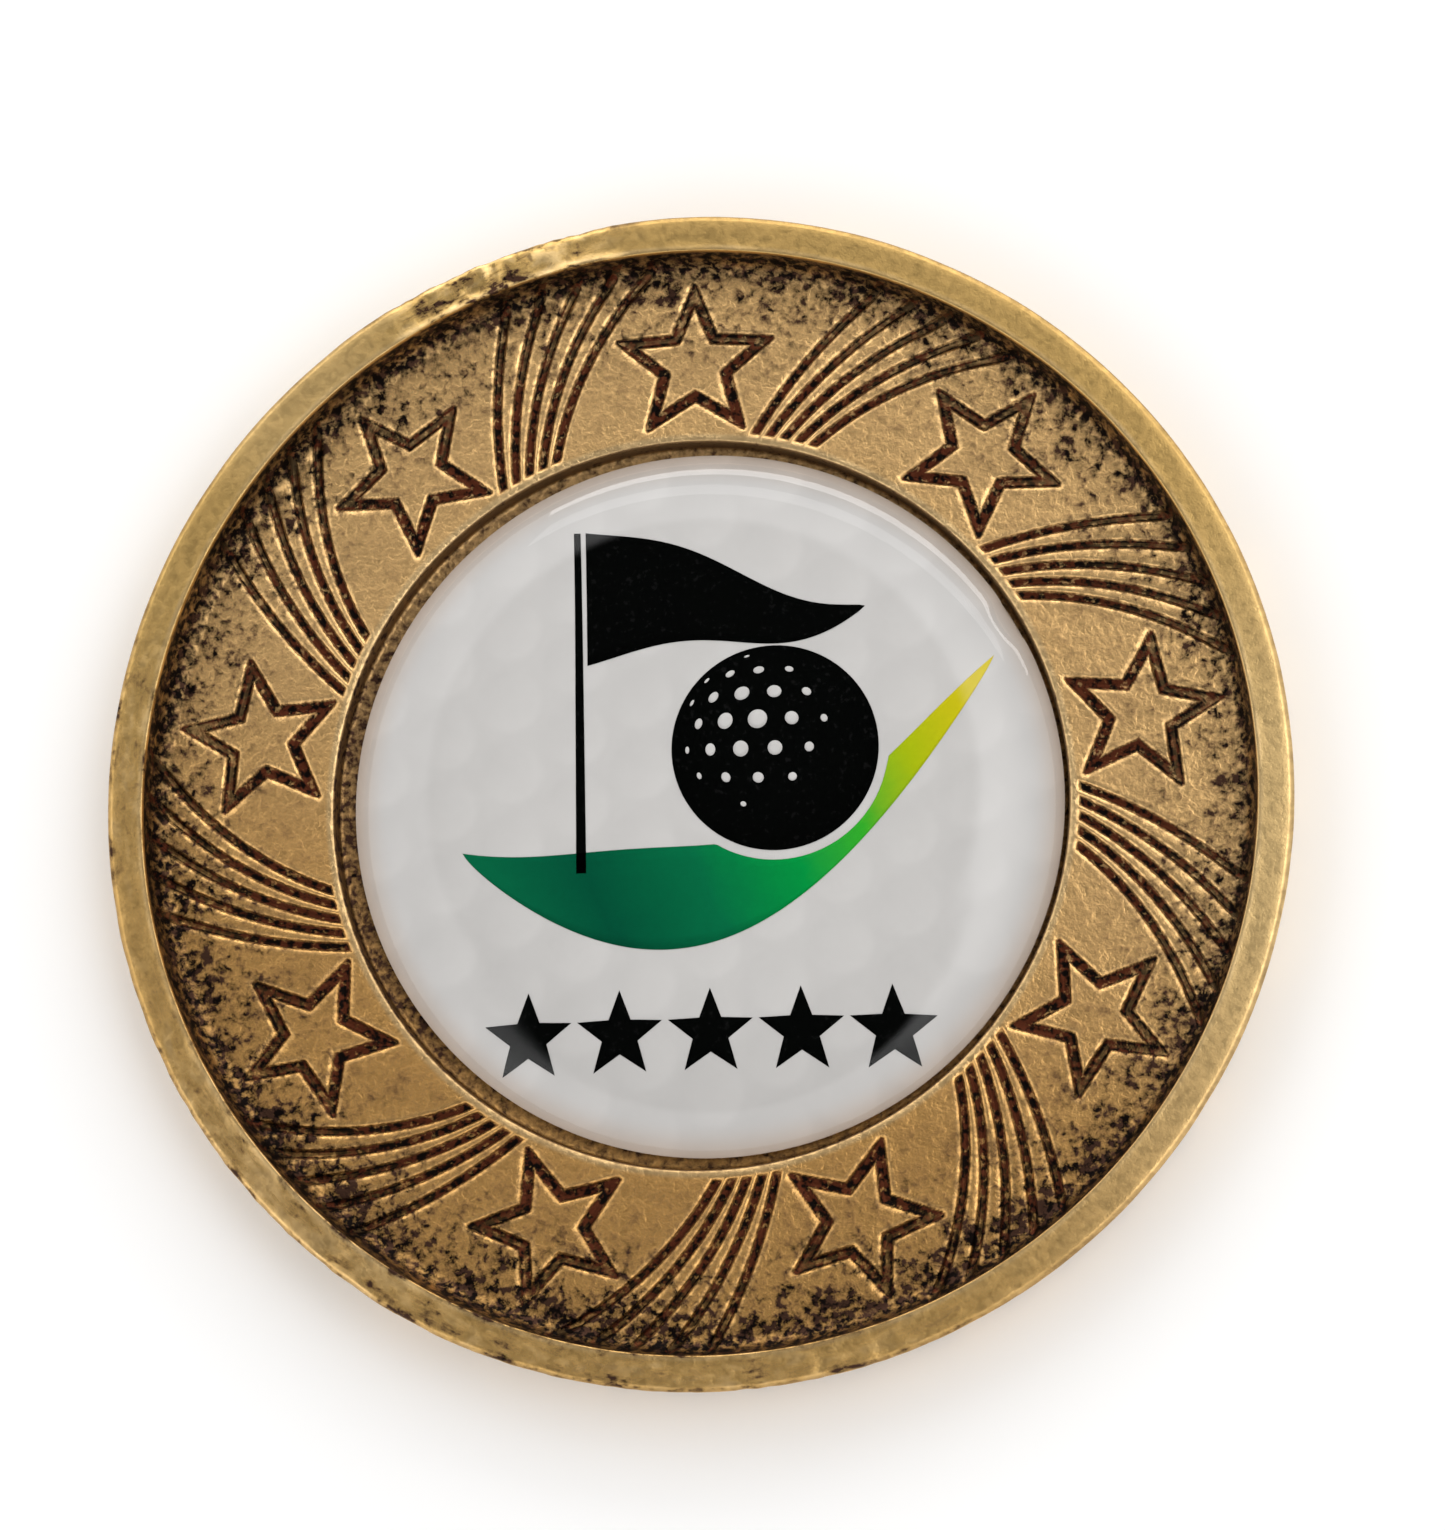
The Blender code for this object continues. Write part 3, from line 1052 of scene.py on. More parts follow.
    def rim_patina(self, canvas: Canvas, rough: Value, streaks: Value) -> Value:
        """Patina on the rim's top.

        It has a faint mottle, dark streaks where the rim is rough, a shaded shoulder and inner
        edge, and pits.

        Args:
            canvas: The material in work.
            rough: How rough the rim is.
            streaks: Noise along the rim, about 0.

        Returns:
            The share, 0 to 1.
        """
        graph = canvas.graph
        radius = canvas.radius
        mottle = graph.add(graph.scaled(streaks, -0.5, 0.05), graph.scaled(canvas.grains, 0.22, -0.11))
        dark = graph.add(graph.scaled(streaks, -4.6, 0.02), graph.scaled(canvas.grains, 0.6, -0.3))
        dark = graph.multiply(graph.highest(dark, 0.0), rough)
        shoulder = graph.multiply(graph.eased(radius, *self.rim_shoulder_radii), 0.42)
        inner = graph.multiply(graph.eased(radius, *self.rim_inner_radii), 0.25)
        pits = graph.multiply(
            graph.eased(graph.noise(canvas.place, 1.7, 3.0, 0.6), 0.5, 0.62),
            graph.band(radius, *self.rim_pit_radii),
            self.along_rim(canvas, self.pitted),
            0.7,
        )
        return graph.clamped(graph.highest(graph.add(mottle, dark, shoulder, inner), pits))

    def clean_gold(self, canvas: Canvas, masks: GoldMasks, rough: Value, streaks: Value) -> Socket:
        """Colour of the bare plating: painted highlights on stretches of the rim and painted shade
        towards the lower side, with pale streaks where the rim is rough and paler lips where hands and
        cloth have worn it.

        Args:
            canvas: The material in work.
            masks: Masks of the disc's faces.
            rough: How rough the rim is.
            streaks: Noise along the rim, about 0.

        Returns:
            The colour.
        """
        graph = canvas.graph
        # Painted shade: the gold turns darker and warmer towards the lower side.
        painted_shade = self.painted_shade_ease(canvas, -3.0, 10.0)
        # Painted highlights on stretches of the rim, plus pale streaks where the rim is rough.
        bright = graph.add(self.along_rim(canvas, self.painted_highlights), graph.multiply(rough, streaks, 6.0))
        rim = graph.tint(graph.clamped(bright), self.rim_gold, self.highlight_and_streak_gold)
        rim = graph.tint(graph.multiply(painted_shade, 0.3), rim, self.painted_shade_gold)
        clean = graph.tint(painted_shade, self.gold, self.painted_shade_gold)
        clean = graph.tint(graph.highest(masks.top_face, masks.side), clean, rim)
        cloudy = graph.scaled(canvas.clouds, 0.5, 0.1)
        rim_lip = graph.band(canvas.radius, *self.rim_lip_radii)
        recess_lip = graph.band(canvas.radius, *self.recess_lip_radii)
        for worn in (
            graph.multiply(masks.lip, 0.12),
            graph.multiply(rim_lip, masks.top_face, cloudy),
            graph.multiply(recess_lip, masks.above_recess, 0.6),
        ):
            clean = graph.tint(worn, clean, self.worn_gold)
        return clean

    def dirt(self, canvas: Canvas, masks: GoldMasks) -> Socket:
        """Colour of the patina: brown, and black in clouds that gather in the hollows; on the wall at the
        rim's foot the black is also painted shadow of the rim.

        Args:
            canvas: The material in work.
            masks: Masks of the disc's faces.

        Returns:
            The colour.
        """
        graph = canvas.graph
        # Grooves and the wall at the rim's foot: patina, with painted shadow on the wall.
        hollows_and_foot_shadow = graph.highest(graph.multiply(masks.groove, 0.8), masks.wall)
        spared = graph.highest(masks.top_face, graph.multiply(masks.recess, 0.6))
        level = graph.add(
            graph.noise(canvas.place, 3.4, 2.0),
            graph.multiply(hollows_and_foot_shadow, -0.06),
            graph.multiply(spared, 0.12),
            graph.multiply(graph.subtract(1.0, masks.outward), 0.06),
        )
        brown = graph.tint(masks.groove, self.patina, self.groove_brown)
        return graph.tint(graph.eased(level, 0.57, 0.42), brown, self.soot)

    def relief(self, canvas: Canvas, masks: GoldMasks) -> Value:
        """Fine relief of the cast skin, in millimetres.

        Args:
            canvas: The material in work.
            masks: Masks of the disc's faces.

        Returns:
            The height.
        """
        graph = canvas.graph
        skin = graph.multiply(canvas.grains, graph.blend(masks.top_face, 0.013, 0.004))
        pits = graph.multiply(graph.noise(canvas.place, 14.0, 1.0), 0.003)
        return graph.add(skin, pits, graph.multiply(masks.groove, -0.03))

    def painted_shade_ease(self, canvas: Canvas, start: float, full: float) -> Socket:
        """Ease across the disc towards its lower side, where the gold is given painted shade.

        Args:
            canvas: The material in work.
            start: Distance past the axis where the ease begins.
            full: Distance where it reaches 1.

        Returns:
            The ease, 0 to 1.
        """
        return canvas.graph.eased(canvas.graph.dot(canvas.place, self.painted_shade_direction), start, full)

    def along_rim(self, canvas: Canvas, places: Sequence[RimPlace]) -> Value:
        """How strongly the nearest of several stretches of the rim applies at a bearing.

        Args:
            canvas: The material in work.
            places: The stretches.

        Returns:
            The strength: 0 away from every stretch.
        """
        graph = canvas.graph
        strengths = []
        for place in places:
            away = graph.math("WRAP", graph.subtract(canvas.bearing, place.bearing), 180.0, -180.0)
            near = graph.eased(graph.math("ABSOLUTE", away), place.reach, 0.3 * place.reach)
            strengths.append(graph.multiply(near, place.strength))
        return graph.highest(0.0, *strengths)

    def rim_streaks(self, canvas: Canvas) -> Socket:
        """Noise drawn out along the rim.

        It is looked up at (7 sin b, 7 cos b, r), so it has no seam and its cells are nearly three
        times as long as they are wide.

        Args:
            canvas: The material in work.

        Returns:
            The noise, about 0.5.
        """
        graph = canvas.graph
        angle = graph.math("RADIANS", canvas.bearing)
        around = graph.vector(
            graph.multiply(graph.math("SINE", angle), self.streak_turn),
            graph.multiply(graph.math("COSINE", angle), self.streak_turn),
            canvas.radius,
        )
        return graph.noise(around, 2.3, 4.0, 0.3)


@dataclass(frozen=True)
class LabelPrint(Finish):
    """Pale grey print of a dimpled ball on white film, browner near its rim, where a painted reflection
    of the gold wall stands in for the dome's edge.
    """

    name: str = "label_white"
    slot: Optional[Slot] = Slot.WHITE
    centre_x: float = LABEL_CENTRE_X
    grain_per_mm: float = 6.0
    colour: Colour = (0.535, 0.521, 0.507)
    # Painted reflection of the gold recess wall in the dome's edge: warmer and darker.
    shade: Colour = (0.50, 0.41, 0.34)
    gold_reflection_radii: Pair = (10.7, 12.1)
    pitch: float = 2.45
    column: float = 2.22
    depth: float = 0.08
    roughness: float = 0.6

    def paint(self, canvas: Canvas) -> None:
        """Fill in the node tree; see Finish.paint for the argument."""
        graph = canvas.graph
        border = graph.eased(canvas.radius, *self.gold_reflection_radii)
        level = graph.add(
            self.dimples(canvas),
            graph.scaled(canvas.grains, 0.02, -0.01),
            graph.scaled(canvas.clouds, 0.03, 0.985),
        )
        # Painted reflection: the print turns browner towards its rim.
        base = graph.tint(border, self.colour, self.shade)
        canvas.give("Base Color", graph.times(base, level))
        canvas.matt(self.roughness)

    def dimples(self, canvas: Canvas) -> Value:
        """Faint shading of a hexagonal field of dimples.

        The centres lie on columns a set distance apart, each column shifted by half a pitch from
        the last. At (u, v) from a centre a dimple is shaded by depth * (u - v) / pitch, darker
        on its upper left, and a faint pale floor is added. Both fade out at its edge.

        Args:
            canvas: The material in work.

        Returns:
            The shading, about 0.
        """
        graph = canvas.graph
        x, y, _ = graph.parts(canvas.place)
        half = 0.5 * self.pitch
        shading = []
        for shift in (0.0, 1.0):
            u = graph.math("WRAP", graph.subtract(x, shift * self.column), self.column, -self.column)
            v = graph.math("WRAP", graph.subtract(y, shift * half), half, -half)
            inside = graph.eased(graph.length(u, v), half, 0.36 * self.pitch)
            slope = graph.multiply(graph.subtract(u, v), self.depth / self.pitch, inside)
            ring = graph.multiply(graph.subtract(inside, 0.6), 0.25 * self.depth)
            shading.append(graph.add(slope, ring))
        return graph.add(*shading)


@dataclass(frozen=True)
class Ink(Finish):
    """Black printed ink, with faint specks."""

    name: str = "black_ink"
    slot: Optional[Slot] = Slot.BLACK
    centre_x: float = LABEL_CENTRE_X
    grain_per_mm: float = 5.0
    colour: Colour = (0.0012, 0.0015, 0.0013)
    speck: Colour = (0.006, 0.006, 0.006)
    roughness: float = 0.7

    def paint(self, canvas: Canvas) -> None:
        """Fill in the node tree; see Finish.paint for the argument."""
        spots = canvas.graph.eased(canvas.grains, 0.75, 0.95)
        canvas.give("Base Color", canvas.graph.tint(spots, self.colour, self.speck))
        canvas.matt(self.roughness)


@dataclass(frozen=True)
class FairwayInk(Finish):
    """Printed gradient from dark green through lime to yellow, by share of the way across."""

    name: str = "green_ink"
    slot: Optional[Slot] = Slot.GREEN
    centre_x: float = LABEL_CENTRE_X
    grain_per_mm: float = 6.0
    left: float = -8.4
    right: float = 10.4
    rise: float = 0.022
    roughness: float = 0.6
    colours: Tuple[Tuple[float, Colour], ...] = (
        (0.0, linear(7, 94, 61)),
        (0.18, linear(2, 74, 51)),
        (0.38, linear(6, 100, 62)),
        (0.56, linear(4, 138, 60)),
        (0.70, linear(49, 162, 41)),
        (0.84, linear(159, 176, 18)),
        (1.0, linear(200, 182, 26)),
    )

    def paint(self, canvas: Canvas) -> None:
        """Fill in the node tree; see Finish.paint for the argument."""
        graph = canvas.graph
        x, y, _ = graph.parts(canvas.place)
        span = self.right - self.left
        along = graph.add(
            graph.scaled(x, 1.0 / span, -self.left / span),
            graph.multiply(y, self.rise),
            graph.scaled(canvas.clouds, 0.02, -0.01),
        )
        ramp = graph.node("ValToRGB")
        graph.wire(along, ramp.inputs[0])
        stops = ramp.color_ramp.elements
        while len(stops) < len(self.colours):
            stops.new(0.5)
        for stop, (position, colour) in zip(stops, self.colours):
            stop.position = position
            stop.color = (*colour, 1.0)
        level = graph.scaled(canvas.grains, 0.06, 0.97)
        canvas.give("Base Color", graph.times(ramp.outputs["Color"], level))
        canvas.matt(self.roughness)


@dataclass(frozen=True)
class ClearResin(Finish):
    """Clear polyurethane that lets the studio's light through to the print."""

    name: str = "clear_resin"
    slot: Optional[Slot] = Slot.RESIN
    centre_x: float = LABEL_CENTRE_X
    grain_per_mm: float = 1.2
    colour: Colour = (0.985, 0.985, 0.98)
    refraction: float = 1.48
    roughness: float = 0.02
    wave: float = 0.004

    def paint(self, canvas: Canvas) -> None:
        """Fill in the node tree; see Finish.paint for the argument."""
        graph = canvas.graph
        for name, value in (
            ("Base Color", (*self.colour, 1.0)),
            ("Metallic", 0.0),
            ("Roughness", self.roughness),
            ("IOR", self.refraction),
            ("Transmission Weight", 1.0),
            ("Normal", graph.bump(graph.multiply(canvas.clouds, self.wave))),
        ):
            canvas.give(name, value)
        path = graph.node("LightPath")
        passing = graph.highest(path.outputs["Is Shadow Ray"], path.outputs["Is Diffuse Ray"])
        clear = graph.node("BsdfTransparent")
        mix = graph.node("MixShader")
        for value, socket in zip((passing, canvas.shader.outputs[0], clear.outputs[0]), mix.inputs):
            graph.wire(value, socket)
        graph.wire(mix.outputs[0], graph.tree.nodes["Material Output"].inputs["Surface"])


@dataclass(frozen=True)
class AdhesiveLayer(Finish):
    """White double-sided adhesive, a little dusty."""

    name: str = "adhesive"
    slot: Optional[Slot] = Slot.ADHESIVE
    grain_per_mm: float = 4.0
    colour: Colour = (0.72, 0.70, 0.64)
    dust: Colour = (0.42, 0.36, 0.28)
    relief: float = 0.01

    def paint(self, canvas: Canvas) -> None:
        """Fill in the node tree; see Finish.paint for the argument."""
        graph = canvas.graph
        dusty = graph.eased(canvas.grains, 0.45, 0.9)
        canvas.give("Base Color", graph.tint(dusty, self.colour, self.dust))
        canvas.give("Roughness", graph.scaled(canvas.grains, 0.2, 0.45))
        canvas.give("Normal", graph.bump(graph.multiply(canvas.grains, self.relief)))


@dataclass(frozen=True)
class FloorCard(Finish):
    """Matt white card, with faint fibres."""

    name: str = "floor_card"
    slot: Optional[Slot] = None
    colour: Colour = (0.93, 0.93, 0.93)
    shade: Colour = (0.91, 0.91, 0.91)
    roughness: float = 0.9

    def paint(self, canvas: Canvas) -> None:
        """Fill in the node tree; see Finish.paint for the argument."""
        graph = canvas.graph
        level = graph.multiply(graph.noise(canvas.place, 2.0, 3.0), 0.02)
        canvas.give("Base Color", graph.tint(level, self.colour, self.shade))
        canvas.matt(self.roughness)


class Workshop:
    """Puts shapes into the scene as pieces, and keeps one material for each finish."""

    def __init__(self, groups: Groups) -> None:
        """Start with no material made.

        Args:
            groups: Node groups that finishes share.
        """
        self.groups = groups
        self.materials: Dict[str, bpy.types.Material] = {}

    def material_of(self, finish: Finish) -> bpy.types.Material:
        """The finish's material, built on its first use."""
        if finish.name not in self.materials:
            self.materials[finish.name] = finish.material(self.groups)
        return self.materials[finish.name]

    def put(self, name: str, shape: Shape, finish: Finish) -> bpy.types.Object:
        """Put a shape into the scene at the origin, with its place in its mesh.

        Args:
            name: Name of the object.
            shape: The shape, in millimetres.
            finish: Its finish.

        Returns:
            The new object.
        """
        mesh = bpy.data.meshes.new(name)
        mesh.from_pydata((shape.vertices * METRES_PER_MM).tolist(), [], shape.faces)
        mesh.validate()
        mesh.shade_smooth()
        mesh.materials.append(self.material_of(finish))
        piece = bpy.data.objects.new(name, mesh)
        bpy.context.scene.collection.objects.link(piece)
        return piece

    def fit(
        self, name: str, shape: Shape, finish: Finish, stands_for: Optional[Node] = None
    ) -> bpy.types.Object:
        """Put a piece of the object into the scene, riding on its body.

        Args:
            name: Name of the piece.
            shape: Its shape, in millimetres.
            finish: Its finish.
            stands_for: The CAD node that it replaces, if any.

        Returns:
            The new piece.
        """
        piece = self.put(name, shape, finish)
        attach(piece, Body.ROOT.value)
        if stands_for is not None:
            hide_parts(stands_for.value)
        sizes = (len(shape.vertices), len(shape.faces))
        LOG.info("%s: %d vertices, %d faces, %s", name, *sizes, finish.name)
        return piece


def node_extent(node: Node) -> Tuple[Array, Array]:
    """Lowest and highest corners of a CAD node, in millimetres."""
    low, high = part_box(node.value)
    return np.array(low) * MM_PER_METRE, np.array(high) * MM_PER_METRE


@dataclass(frozen=True)
class NoiseLayer:
    """Rolling noise of one size: height * (noise - sunk), in millimetres."""

    height: float
    cell: float
    seed: int
    sunk: float = 0.0

    def over(self, x: Array, y: Array) -> Array:
        """The layer's height at each place."""
        return self.height * (rolling_noise(x, y, self.cell, self.seed) - self.sunk)


@dataclass
class CastDisc:
    """The cast metal disc: recess, starred field, standing rim and sunk reverse.

    Radii and heights are in millimetres. The radius and the thickness come from the CAD disc.
    """

    pattern: BorderPattern
    finish: Finish = field(default_factory=AntiqueGold)
    recess_floor: float = 0.9
    recess_radius: float = 12.42
    field_inner: float = 1.7
    field_outer: float = 1.6
    field_start: float = 12.6
    field_end: float = 18.02
    field_rows: int = 60
    rim_inner: float = 18.79
    cove_rows: int = 14
    side_lean: float = 0.42
    gap_columns: int = 61
    groove_columns: Tuple[float, ...] = (-0.27, -0.15, -0.05, 0.05, 0.15, 0.27)
    groove_share: float = 0.86
    still_radius: float = 9.0
    groove_depth: float = 0.17
    lip_height: float = 0.008
    lip_place: float = 0.1
    lip_width: float = 0.06
    gate_bearing: float = -19.0
    gate_depth: float = 0.12
    gate_radius: float = 19.4
    rough_bearing: float = 205.0
    side_stretch: float = 0.35
    skin: Tuple[NoiseLayer, ...] = (NoiseLayer(0.006, 0.55, 11), NoiseLayer(0.012, 1.7, 12))
    dents: Tuple[NoiseLayer, ...] = (NoiseLayer(0.010, 0.9, 13, 1.0), NoiseLayer(0.006, 2.6, 14, 1.0))
    gate_pits: NoiseLayer = NoiseLayer(0.075, 0.42, 15, 0.6)
    rough_pits: NoiseLayer = NoiseLayer(0.028, 0.5, 18, 0.7)
    side_skin: NoiseLayer = NoiseLayer(0.012, 1.1, 16, 1.0)
    side_gate: NoiseLayer = NoiseLayer(0.05, 0.3, 17, 1.0)
    side_rough: NoiseLayer = NoiseLayer(0.02, 0.4, 19, 1.0)

    def profile(self) -> Tuple[Array, Array]:
        """Profile from the recess floor outward, over the rim and back below.

        The field falls evenly from the recess, then climbs to the rim along a quarter of an
        ellipse, (foot + a sin t, field + b (1 - cos t)). The rim's top is level, its corners are
        rounded by a few points each, and its outer side leans in towards the reverse.

        Returns:
            Radii and heights, millimetres, without the two points on the axis.
        """
        _, high = node_extent(Node.DISC)
        outer = high[0]
        top = high[2]
        recess = [
            (5.0, self.recess_floor), (9.0, self.recess_floor), (11.6, self.recess_floor),
            (12.22, self.recess_floor), (12.33, self.recess_floor + 0.02),
            (12.38, self.recess_floor + 0.1), (self.recess_radius, 1.45), (12.43, 1.62),
            (12.46, 1.675), (12.52, 1.697),
        ]
        radii = np.linspace(self.field_start, self.field_end, self.field_rows)
        share = (radii - self.field_start) / (self.field_end - self.field_start)
        heights = self.field_inner + share * (self.field_outer - self.field_inner)
        turn = np.linspace(0.0, 0.5 * math.pi, self.cove_rows + 1)[1:]
        cove_radii = self.field_end + (self.rim_inner - 0.02 - self.field_end) * np.sin(turn)
        cove_heights = self.field_outer + (top - 0.1 - self.field_outer) * (1.0 - np.cos(turn))
        rim = [
            (self.rim_inner - 0.005, top - 0.045), (self.rim_inner + 0.01, top - 0.018),
            (self.rim_inner + 0.04, top - 0.003),
            (18.9, top), (19.2, top - 0.001), (19.6, top - 0.003), (19.8, top - 0.008),
            (19.87, top - 0.018), (19.93, top - 0.05), (19.98, top - 0.11), (outer, top - 0.2),
        ]
        foot = outer - self.side_lean
        below = [
            (outer - 0.02, top - 0.34), (outer - 0.15, 1.95), (outer - 0.29, 1.1), (foot, 0.34),
            (foot - 0.1, 0.13), (foot - 0.24, 0.01), (foot - 0.34, 0.0), (18.34, 0.0),
            (18.24, 0.04), (18.06, 0.25), (17.94, 0.3), (12.0, 0.3), (5.0, 0.3),
        ]
        inner = np.array(recess)
        outside = np.array(rim + below)
        radius = np.concatenate([inner[:, 0], radii, cove_radii, outside[:, 0]])
        height = np.concatenate([inner[:, 1], heights, cove_heights, outside[:, 1]])
        return radius, height

    def bearings(self, radius: Array) -> Array:
        """Bearings of the grid's columns at each radius, in degrees.

        Across each groove the columns keep set distances from its centre line, so they run
        along it, and one column lies midway between two grooves. Where grooves are close, the
        turn for a distance d is held to pitch / 2 * groove_share * sqrt(d / widest). The columns
        of a star's space are spread evenly between the bundles on its two sides.

        Args:
            radius: Radii of the rings, millimetres.

        Returns:
            Bearings of shape (rings, columns).
        """
        pattern = self.pattern
        share = np.clip((radius - pattern.inner_radius) / pattern.width, 0.0, 1.0)
        widest = max(self.groove_columns)
        columns = []
        for order in range(pattern.grooves):
            centre = pattern.groove_bearing(np.full_like(share, order), share)
            lean = pattern.groove_lean(np.full_like(share, order), share, radius)
            pitch = pattern.groove_bearing(np.full_like(share, 1.0), share)
            pitch = pitch - pattern.groove_bearing(np.zeros_like(share), share)
            slant = np.sqrt(1.0 + lean * lean) / np.maximum(radius, self.still_radius)
            for offset in self.groove_columns:
                turn = np.degrees(abs(offset) * slant)
                most = (0.5 * pitch) * (abs(offset) / widest) ** 0.5 * self.groove_share
                columns.append(centre + math.copysign(1.0, offset) * np.minimum(turn, most))
            if order < pattern.grooves - 1:
                columns.append(centre + 0.5 * pitch)
        bundle = np.stack(columns, axis=-1)
        last = bundle[:, -1:]
        first_after = bundle[:, :1] + pattern.sector
        shares = np.arange(1, self.gap_columns + 1)[None, :] / (self.gap_columns + 1)
        sector = np.concatenate([bundle, last + (first_after - last) * shares], axis=1)
        turns = np.arange(pattern.stars)[None, :, None] * pattern.sector
        return (sector[:, None, :] + turns).reshape(len(radius), -1)

    def shape(self) -> Shape:
        """The disc's whole surface.

        At ring i and bearing b the surface is (r sin b, r cos b, z) with r and z from the
        profile. On the field z gains lip * exp(-((e - place) / width) ** 2) - depth * ease(e),
        with e the distance from the nearest groove's edge. Rolling noise stands for the cast
        skin, with deeper pits on the rim's top and side near the gate and at the rough bearing.
        The gate's stub is filed flat, r = (R - d) / cos(b - gate).

        Returns:
            The closed shape.
        """
        _, high = node_extent(Node.DISC)
        radius_profile, height_profile = self.profile()
        bearing = self.bearings(radius_profile)
        radius = np.broadcast_to(radius_profile[:, None], bearing.shape).copy()
        height = np.broadcast_to(height_profile[:, None], bearing.shape).copy()
        edge = self.pattern.edge(radius, bearing)
        on_field = smooth_step(12.55, 12.65, radius) * smooth_step(2.6, 2.2, height)
        on_field = on_field * (height > 1.0)
        relief = self.lip_height * np.exp(-(((edge - self.lip_place) / self.lip_width) ** 2))
        relief = relief - self.groove_depth * smooth_step(0.04, -0.13, edge)
        height += on_field * relief
        angle = np.radians(bearing)
        x = radius * np.sin(angle)
        y = radius * np.cos(angle)
        height += on_field * sum(layer.over(x, y) for layer in self.skin)
        on_rim = smooth_step(18.78, 18.9, radius) * smooth_step(1.2, 1.6, height)
        away = np.abs(wrapped(bearing - self.gate_bearing, -180.0, 180.0))
        gate = smooth_step(14.0, 8.0, away)
        lower = smooth_step(75.0, 25.0, np.abs(wrapped(bearing - self.rough_bearing, -180.0, 180.0)))
        rough = gate * self.gate_pits.over(x, y) + lower * self.rough_pits.over(x, y)
        dents = sum(layer.over(x, y) for layer in self.dents)
        height += on_rim * (dents + np.minimum(rough, 0.0))
        around = bearing * self.side_stretch
        ripple = self.side_skin.over(around, height)
        ripple = ripple + gate * self.side_gate.over(around, height)
        ripple = ripple + lower * self.side_rough.over(around, height)
        radius += smooth_step(19.5, 19.9, radius) * ripple
        flat = (high[0] - self.gate_depth) / np.cos(np.radians(np.minimum(away, 30.0)))
        radius = np.minimum(radius, np.maximum(flat, self.gate_radius))
        rings = np.stack([radius * np.sin(angle), radius * np.cos(angle), height], axis=-1)
        first = np.array([0.0, 0.0, height_profile[0]])
        last = np.array([0.0, 0.0, height_profile[-1]])
        return turned_shape(rings, first, last)

    def build(self, workshop: Workshop) -> None:
        """Put the disc into the scene."""
        workshop.fit("cast_disc_relief", self.shape(), self.finish, Node.DISC)


@dataclass
class DomedLabel:
    """Adhesive, printed film and clear dome, which lie one on the other in the recess."""

    adhesive: Finish = field(default_factory=AdhesiveLayer)
    film: Finish = field(default_factory=LabelPrint)
    resin: Finish = field(default_factory=ClearResin)
    columns: int = 288
    crown_rows: int = 44
    edge_length: float = 1.2
    lip: float = 0.1
    sunk: float = 0.05
    nick_bearing: float = 60.0
    nick_depth: float = 0.12
    pad_inset: float = 0.1
    pad_sunk: float = 0.04
    film_inset: float = 0.03

    def layer(self, node: Node, inset: float, low: float, high: float) -> Shape:
        """A flat round layer with a slightly rounded rim.

        Args:
            node: CAD node that gives its radius and centre.
            inset: How much smaller it is than the CAD node.
            low: Height of its underside.
            high: Height of its top.

        Returns:
            The closed shape.
        """
        corner, far = node_extent(node)
        radius = 0.5 * (far[0] - corner[0]) - inset
        soft = 0.2 * (high - low)
        profile = [
            (0.0, high), (0.5 * radius, high), (radius - soft, high), (radius, high - soft),
            (radius, low + soft), (radius - soft, low), (0.5 * radius, low), (0.0, low),
        ]
        shape = turned_from_profile(profile, self.columns)
        return shape.moved(0.5 * (far[0] + corner[0]), 0.0)

    def dome(self) -> Shape:
        """The resin: a short upright lip, then a crown that is level inside and steep outside.

        The crown's height at radius r is h * (1 - cosh(r / l) / cosh(R / l)), the shape of a wide
        drop held at its edge, with R the label's radius and l the edge's length. The underside
        is sunk a little into the film, as resin wets it. A small nick pulls the edge in.

        Returns:
            The closed shape.
        """
        corner, far = node_extent(Node.DOME)
        radius = 0.5 * (far[0] - corner[0])
        base = corner[2] - 2.0 * self.sunk
        crown = far[2] - corner[2] - self.lip
        inward = np.linspace(1.0, 0.0, self.crown_rows + 1)[1:] ** 2
        radii = radius * (1.0 - inward)
        fall = np.cosh(radii / self.edge_length) / math.cosh(radius / self.edge_length)
        heights = corner[2] + self.lip + crown * (1.0 - fall)
        bearing = np.linspace(0.0, 360.0, self.columns, endpoint=False)
        ring_radius = np.concatenate([radii, [radius, radius, 0.5 * radius]])
        ring_height = np.concatenate([heights, [corner[2], base, base]])
        away = np.abs(bearing - self.nick_bearing)[None, :]
        near_edge = smooth_step(0.93, 1.0, ring_radius / radius)[:, None]
        reach = ring_radius[:, None] - self.nick_depth * smooth_step(4.5, 1.5, away) * near_edge
        angle = np.radians(bearing)[None, :]
        height = np.broadcast_to(ring_height[:, None], reach.shape)
        rings = np.stack([reach * np.sin(angle), reach * np.cos(angle), height], axis=-1)
        shape = turned_shape(rings, np.array([0.0, 0.0, far[2]]), np.array([0.0, 0.0, base]))
        return shape.moved(0.5 * (far[0] + corner[0]), 0.0)

    def build(self, workshop: Workshop) -> None:
        """Put the three layers into the scene."""
        low, high = node_extent(Node.ADHESIVE)
        _, film_high = node_extent(Node.FILM)
        pad = self.layer(Node.ADHESIVE, self.pad_inset, low[2] - self.pad_sunk, high[2])
        workshop.fit("adhesive_layer", pad, self.adhesive, Node.ADHESIVE)
        sheet = self.layer(Node.FILM, self.film_inset, high[2], film_high[2])
        workshop.fit("printed_sheet", sheet, self.film, Node.FILM)
        workshop.fit("clear_dome", self.dome(), self.resin, Node.DOME)


